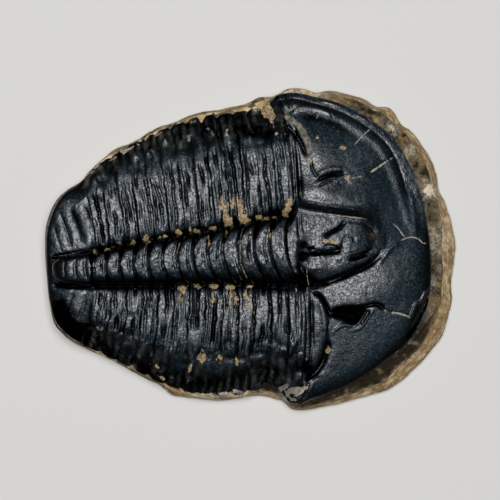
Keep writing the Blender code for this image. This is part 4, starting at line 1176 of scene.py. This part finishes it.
def shield_material():
    """Blue-black calcite with lighter grey raised crests, tan mud in the furrows and pale cracks, with
    painted shade on its slopes, walls and hollows and painted highlights on the ribs of its tips.
    """
    look = Nodes("blue_black_calcite")
    cloud = look.speckle(220, 5, 0.6)
    grain = look.speckle(2600, 4, 0.65)
    fine = look.speckle(5200, 1, 0.5)
    wide = look.speckle(1700, 3, 0.55)
    steep = look.mask("steep")
    still = look.math("MAXIMUM", look.times(steep, 0.85), look.times(look.mask("calm"), 0.6))
    level = look.rest(still)
    colour = bare_calcite(look, cloud, grain, fine, steep, level)
    grey, colour = grey_mud(look, grain, colour)
    mud, colour = tan_mud(look, cloud, grain, fine, colour)
    coat, colour = pale_coat(look, cloud, grain, colour)
    pale = look.times(look.mask("pale"), look.span(grain, 0.32, 0.5))
    colour = look.mix(pale, colour, PALE_CALCITE)
    dusty = look.math("MAXIMUM", look.math("MAXIMUM", mud, coat), look.math("MAXIMUM", pale, grey))
    clean = look.math("SUBTRACT", 1.0, dusty, clamp=True)

    # Wrinkles in the level parts, painted shade (black and metallic) on steep walls and in shaded spots, and
    # painted highlights on the ribs that cross them
    wrinkle = look.math("ABSOLUTE", look.math("SUBTRACT", look.speckle(2300, 2, 0.6), 0.5))
    wrinkle = look.times(look.span(wrinkle, 0.0, 0.05, 1.0, 0.0), look.span(wide, 0.45, 0.6))
    wrinkle = look.times(wrinkle, level)
    colour = look.mix(look.times(wrinkle, 0.6), colour, WRINKLE_BLACK)
    wall = look.times(look.mask("wall"), clean)
    colour = look.mix(wall, colour, WALL_SHADE_BLACK)
    # Painted highlights along the ribs of the turned-down tips, lifted out of the painted shade
    rib_highlights = look.times(look.mask("rib_highlights"), look.span(grain, 0.3, 0.6, 0.3, 1.0))
    colour = look.mix(look.times(rib_highlights, clean), colour, RIB_HIGHLIGHT_GREY)
    look.link(colour, look.shader.inputs["Base Color"])
    # The painted shade is also made metallic, so that it reflects almost nothing
    look.link(look.times(wall, look.rest(rib_highlights)), look.shader.inputs["Metallic"])

    # Gloss and fine relief
    smooth = look.span(cloud, 0.3, 0.7, 0.19, 0.24)
    crystals = look.times(look.span(look.speckle(4300, 2, 0.6), 0.44, 0.6, 0.07, 0.34), level)
    roughness = look.math("ADD", look.plus(smooth, crystals), look.times(dusty, 0.5), clamp=True)
    look.link(roughness, look.shader.inputs["Roughness"])
    look.shader.inputs["IOR"].default_value = CALCITE_IOR
    normal = look.bump(look.times(wide, level), WIDE_BUMP)
    normal = look.bump(look.rest(wrinkle), WRINKLE_BUMP, below=normal)
    normal = look.bump(look.times(fine, level), FINE_BUMP, below=normal)
    look.link(normal, look.shader.inputs["Normal"])
    return look.material


def bare_calcite(look, cloud, grain, fine, steep, level):
    """Colour of the bare shield: painted shade on steep slopes and in hollows, lighter grey on raised
    crests, and rusty stains.
    """
    black = look.mix(look.span(cloud, 0.35, 0.7), BLACK, BLUE_BLACK)
    black = look.mix(look.span(fine, 0.5, 0.7, 0.0, 0.6), black, GLINT)
    # Painted shade: steep slopes are darkened to near black
    black = look.mix(look.times(steep, 0.92), black, SLOPE_SHADE_BLACK)
    crest = look.times(look.times(look.mask("crest"), look.span(grain, 0.3, 0.62)), level)
    colour = look.mix(look.times(crest, 0.5), black, CREST_GREY)
    # Painted shade: hollows are darkened to near black
    colour = look.mix(look.times(look.mask("hollow"), 0.8), colour, HOLLOW_SHADE_BLACK)
    return look.mix(look.times(look.mask("rust"), look.span(grain, 0.35, 0.6)), colour, RUST)


def grey_mud(look, grain, colour):
    """Where grey mud is, and the colour of the shield with it."""
    grey = look.times(look.mask("grey"), look.span(grain, 0.25, 0.42))
    grey_colour = look.mix(look.span(grain, 0.35, 0.65), DARK_GREY_MUD, GREY_MUD)
    return grey, look.mix(grey, colour, grey_colour)


def tan_mud(look, cloud, grain, fine, colour):
    """Where tan mud is, and the colour of the shield with it."""
    edge = look.plus(look.mask("mud"), look.span(grain, 0.3, 0.7, -0.3, 0.3))
    mud = look.span(edge, 0.22, 0.9, 0.0, 0.94)
    mud_colour = look.mix(look.span(fine, 0.35, 0.65), BROWN_MUD, TAN_MUD)
    mud_colour = look.mix(look.span(cloud, 0.46, 0.62, 0.0, 0.7), mud_colour, DARK_MUD)
    return mud, look.mix(mud, colour, mud_colour)


def pale_coat(look, cloud, grain, colour):
    """Where pale matrix coats the shield, and the colour of the shield with it."""
    edge = look.plus(look.mask("coat"), look.span(grain, 0.3, 0.7, -0.3, 0.3))
    coat = look.span(edge, 0.35, 0.65)
    coat_colour = look.mix(look.span(cloud, 0.4, 0.6), COAT_CREAM, COAT_GREY)
    coat_colour = look.mix(look.span(grain, 0.42, 0.66, 0.0, 0.75), coat_colour, COAT_SPECK)
    return coat, look.mix(coat, colour, coat_colour)


def bed_material():
    """Cream calcite in thin layers, with a brown weathered ledge and ochre stains."""
    look = Nodes("cream_calcite")
    cloud = look.speckle(300, 5, 0.6)
    patch = look.speckle(1100, 5, 0.65)
    grain = look.speckle(3200, 3, 0.65)
    cream = look.mix(look.span(patch, 0.38, 0.62), CREAM, SLOPE_BROWN)
    cream = look.mix(look.span(cloud, 0.42, 0.6, 0.0, 0.75), cream, SLOPE_TAN)
    layers = look.times(look.mask("layers"), look.span(patch, 0.25, 0.55))
    cream = look.mix(look.times(layers, 0.8), cream, LAYER_BROWN)
    cream = look.mix(look.span(grain, 0.56, 0.7, 0.0, 0.6), cream, SLOPE_SPECK)
    brown = look.mix(look.span(patch, 0.4, 0.56), LEDGE_BLACK, LEDGE_BROWN)
    brown = look.mix(look.span(cloud, 0.48, 0.58, 0.0, 0.85), brown, LEDGE_TAN)
    brown = look.mix(look.span(patch, 0.56, 0.66, 0.0, 0.85), brown, LEDGE_CREAM)
    brown = look.mix(look.span(grain, 0.58, 0.7, 0.0, 0.5), brown, LEDGE_SPECK)
    edge = look.plus(look.mask("brown"), look.span(patch, 0.35, 0.65, -0.3, 0.3))
    colour = look.mix(look.span(edge, 0.38, 0.58), cream, brown)
    ochre = look.times(look.mask("ochre"), look.span(patch, 0.35, 0.6))
    colour = look.mix(look.times(ochre, 0.8), colour, OCHRE)
    white = look.times(look.mask("pale"), look.span(grain, 0.44, 0.56, 0.15, 1.0))
    colour = look.mix(look.times(white, 0.7), colour, CHIP_WHITE)
    # Painted shade, and the real dark cracks
    colour = look.mix(look.mask("dark"), colour, PIT_SHADE_AND_CRACK_BROWN)
    look.link(colour, look.shader.inputs["Base Color"])
    look.link(look.span(grain, 0.3, 0.7, 0.6, 0.85), look.shader.inputs["Roughness"])
    look.shader.inputs["Specular IOR Level"].default_value = BED_SPECULAR
    normal = look.bump(patch, PATCH_BUMP, 0.7)
    normal = look.bump(grain, GRAIN_BUMP, 0.8, normal)
    look.link(normal, look.shader.inputs["Normal"])
    return look.material


def floor_material():
    """Plain, matt and pale."""
    look = Nodes("pale_floor")
    look.shader.inputs["Base Color"].default_value = FLOOR_COLOUR
    look.shader.inputs["Roughness"].default_value = FLOOR_ROUGHNESS
    return look.material


def make_studio():
    """Camera straight above, one soft lamp beside it that points at the stone, and a plain floor."""
    scene = bpy.context.scene
    camera = bpy.data.objects.new("camera", bpy.data.cameras.new("camera"))
    camera.data.sensor_width = SENSOR_WIDTH
    camera.data.lens = LENS
    camera.location = CAMERA_PLACE
    scene.collection.objects.link(camera)
    scene.camera = camera
    lamp = bpy.data.objects.new("key", bpy.data.lights.new("key", "AREA"))
    lamp.data.size = LAMP_SIZE
    lamp.data.energy = LAMP_ENERGY
    lamp.location = LAMP_PLACE
    lamp.rotation_euler = (-lamp.location).to_track_quat("-Z", "Y").to_euler()
    scene.collection.objects.link(lamp)
    scene.world = bpy.data.worlds.new("world")
    scene.world.use_nodes = True
    background = scene.world.node_tree.nodes["Background"]
    background.inputs["Color"].default_value = SKY_COLOUR
    background.inputs["Strength"].default_value = SKY_STRENGTH
    mesh = bpy.data.meshes.new("floor")
    corners = [(-1, -1), (1, -1), (1, 1), (-1, 1)]
    mesh.from_pydata([(FLOOR_HALF * x, FLOOR_HALF * y, 0) for x, y in corners], [], [(0, 1, 2, 3)])
    mesh.materials.append(floor_material())
    floor = bpy.data.objects.new("floor", mesh)
    scene.collection.objects.link(floor)
    scene.view_settings.view_transform = "Standard"


shield_look = shield_material()
make_cap("tail_shield", grid(1, 0, TAIL_GRID), tail_relief, 0, -1, TAIL_SEAM, shield_look)
make_thorax(shield_look)
make_cap("head_shield", grid(0, 1, HEAD_GRID), head_relief, SEGMENTS, 1, HEAD_SEAM, shield_look)
make_matrix(bed_material())
make_studio()
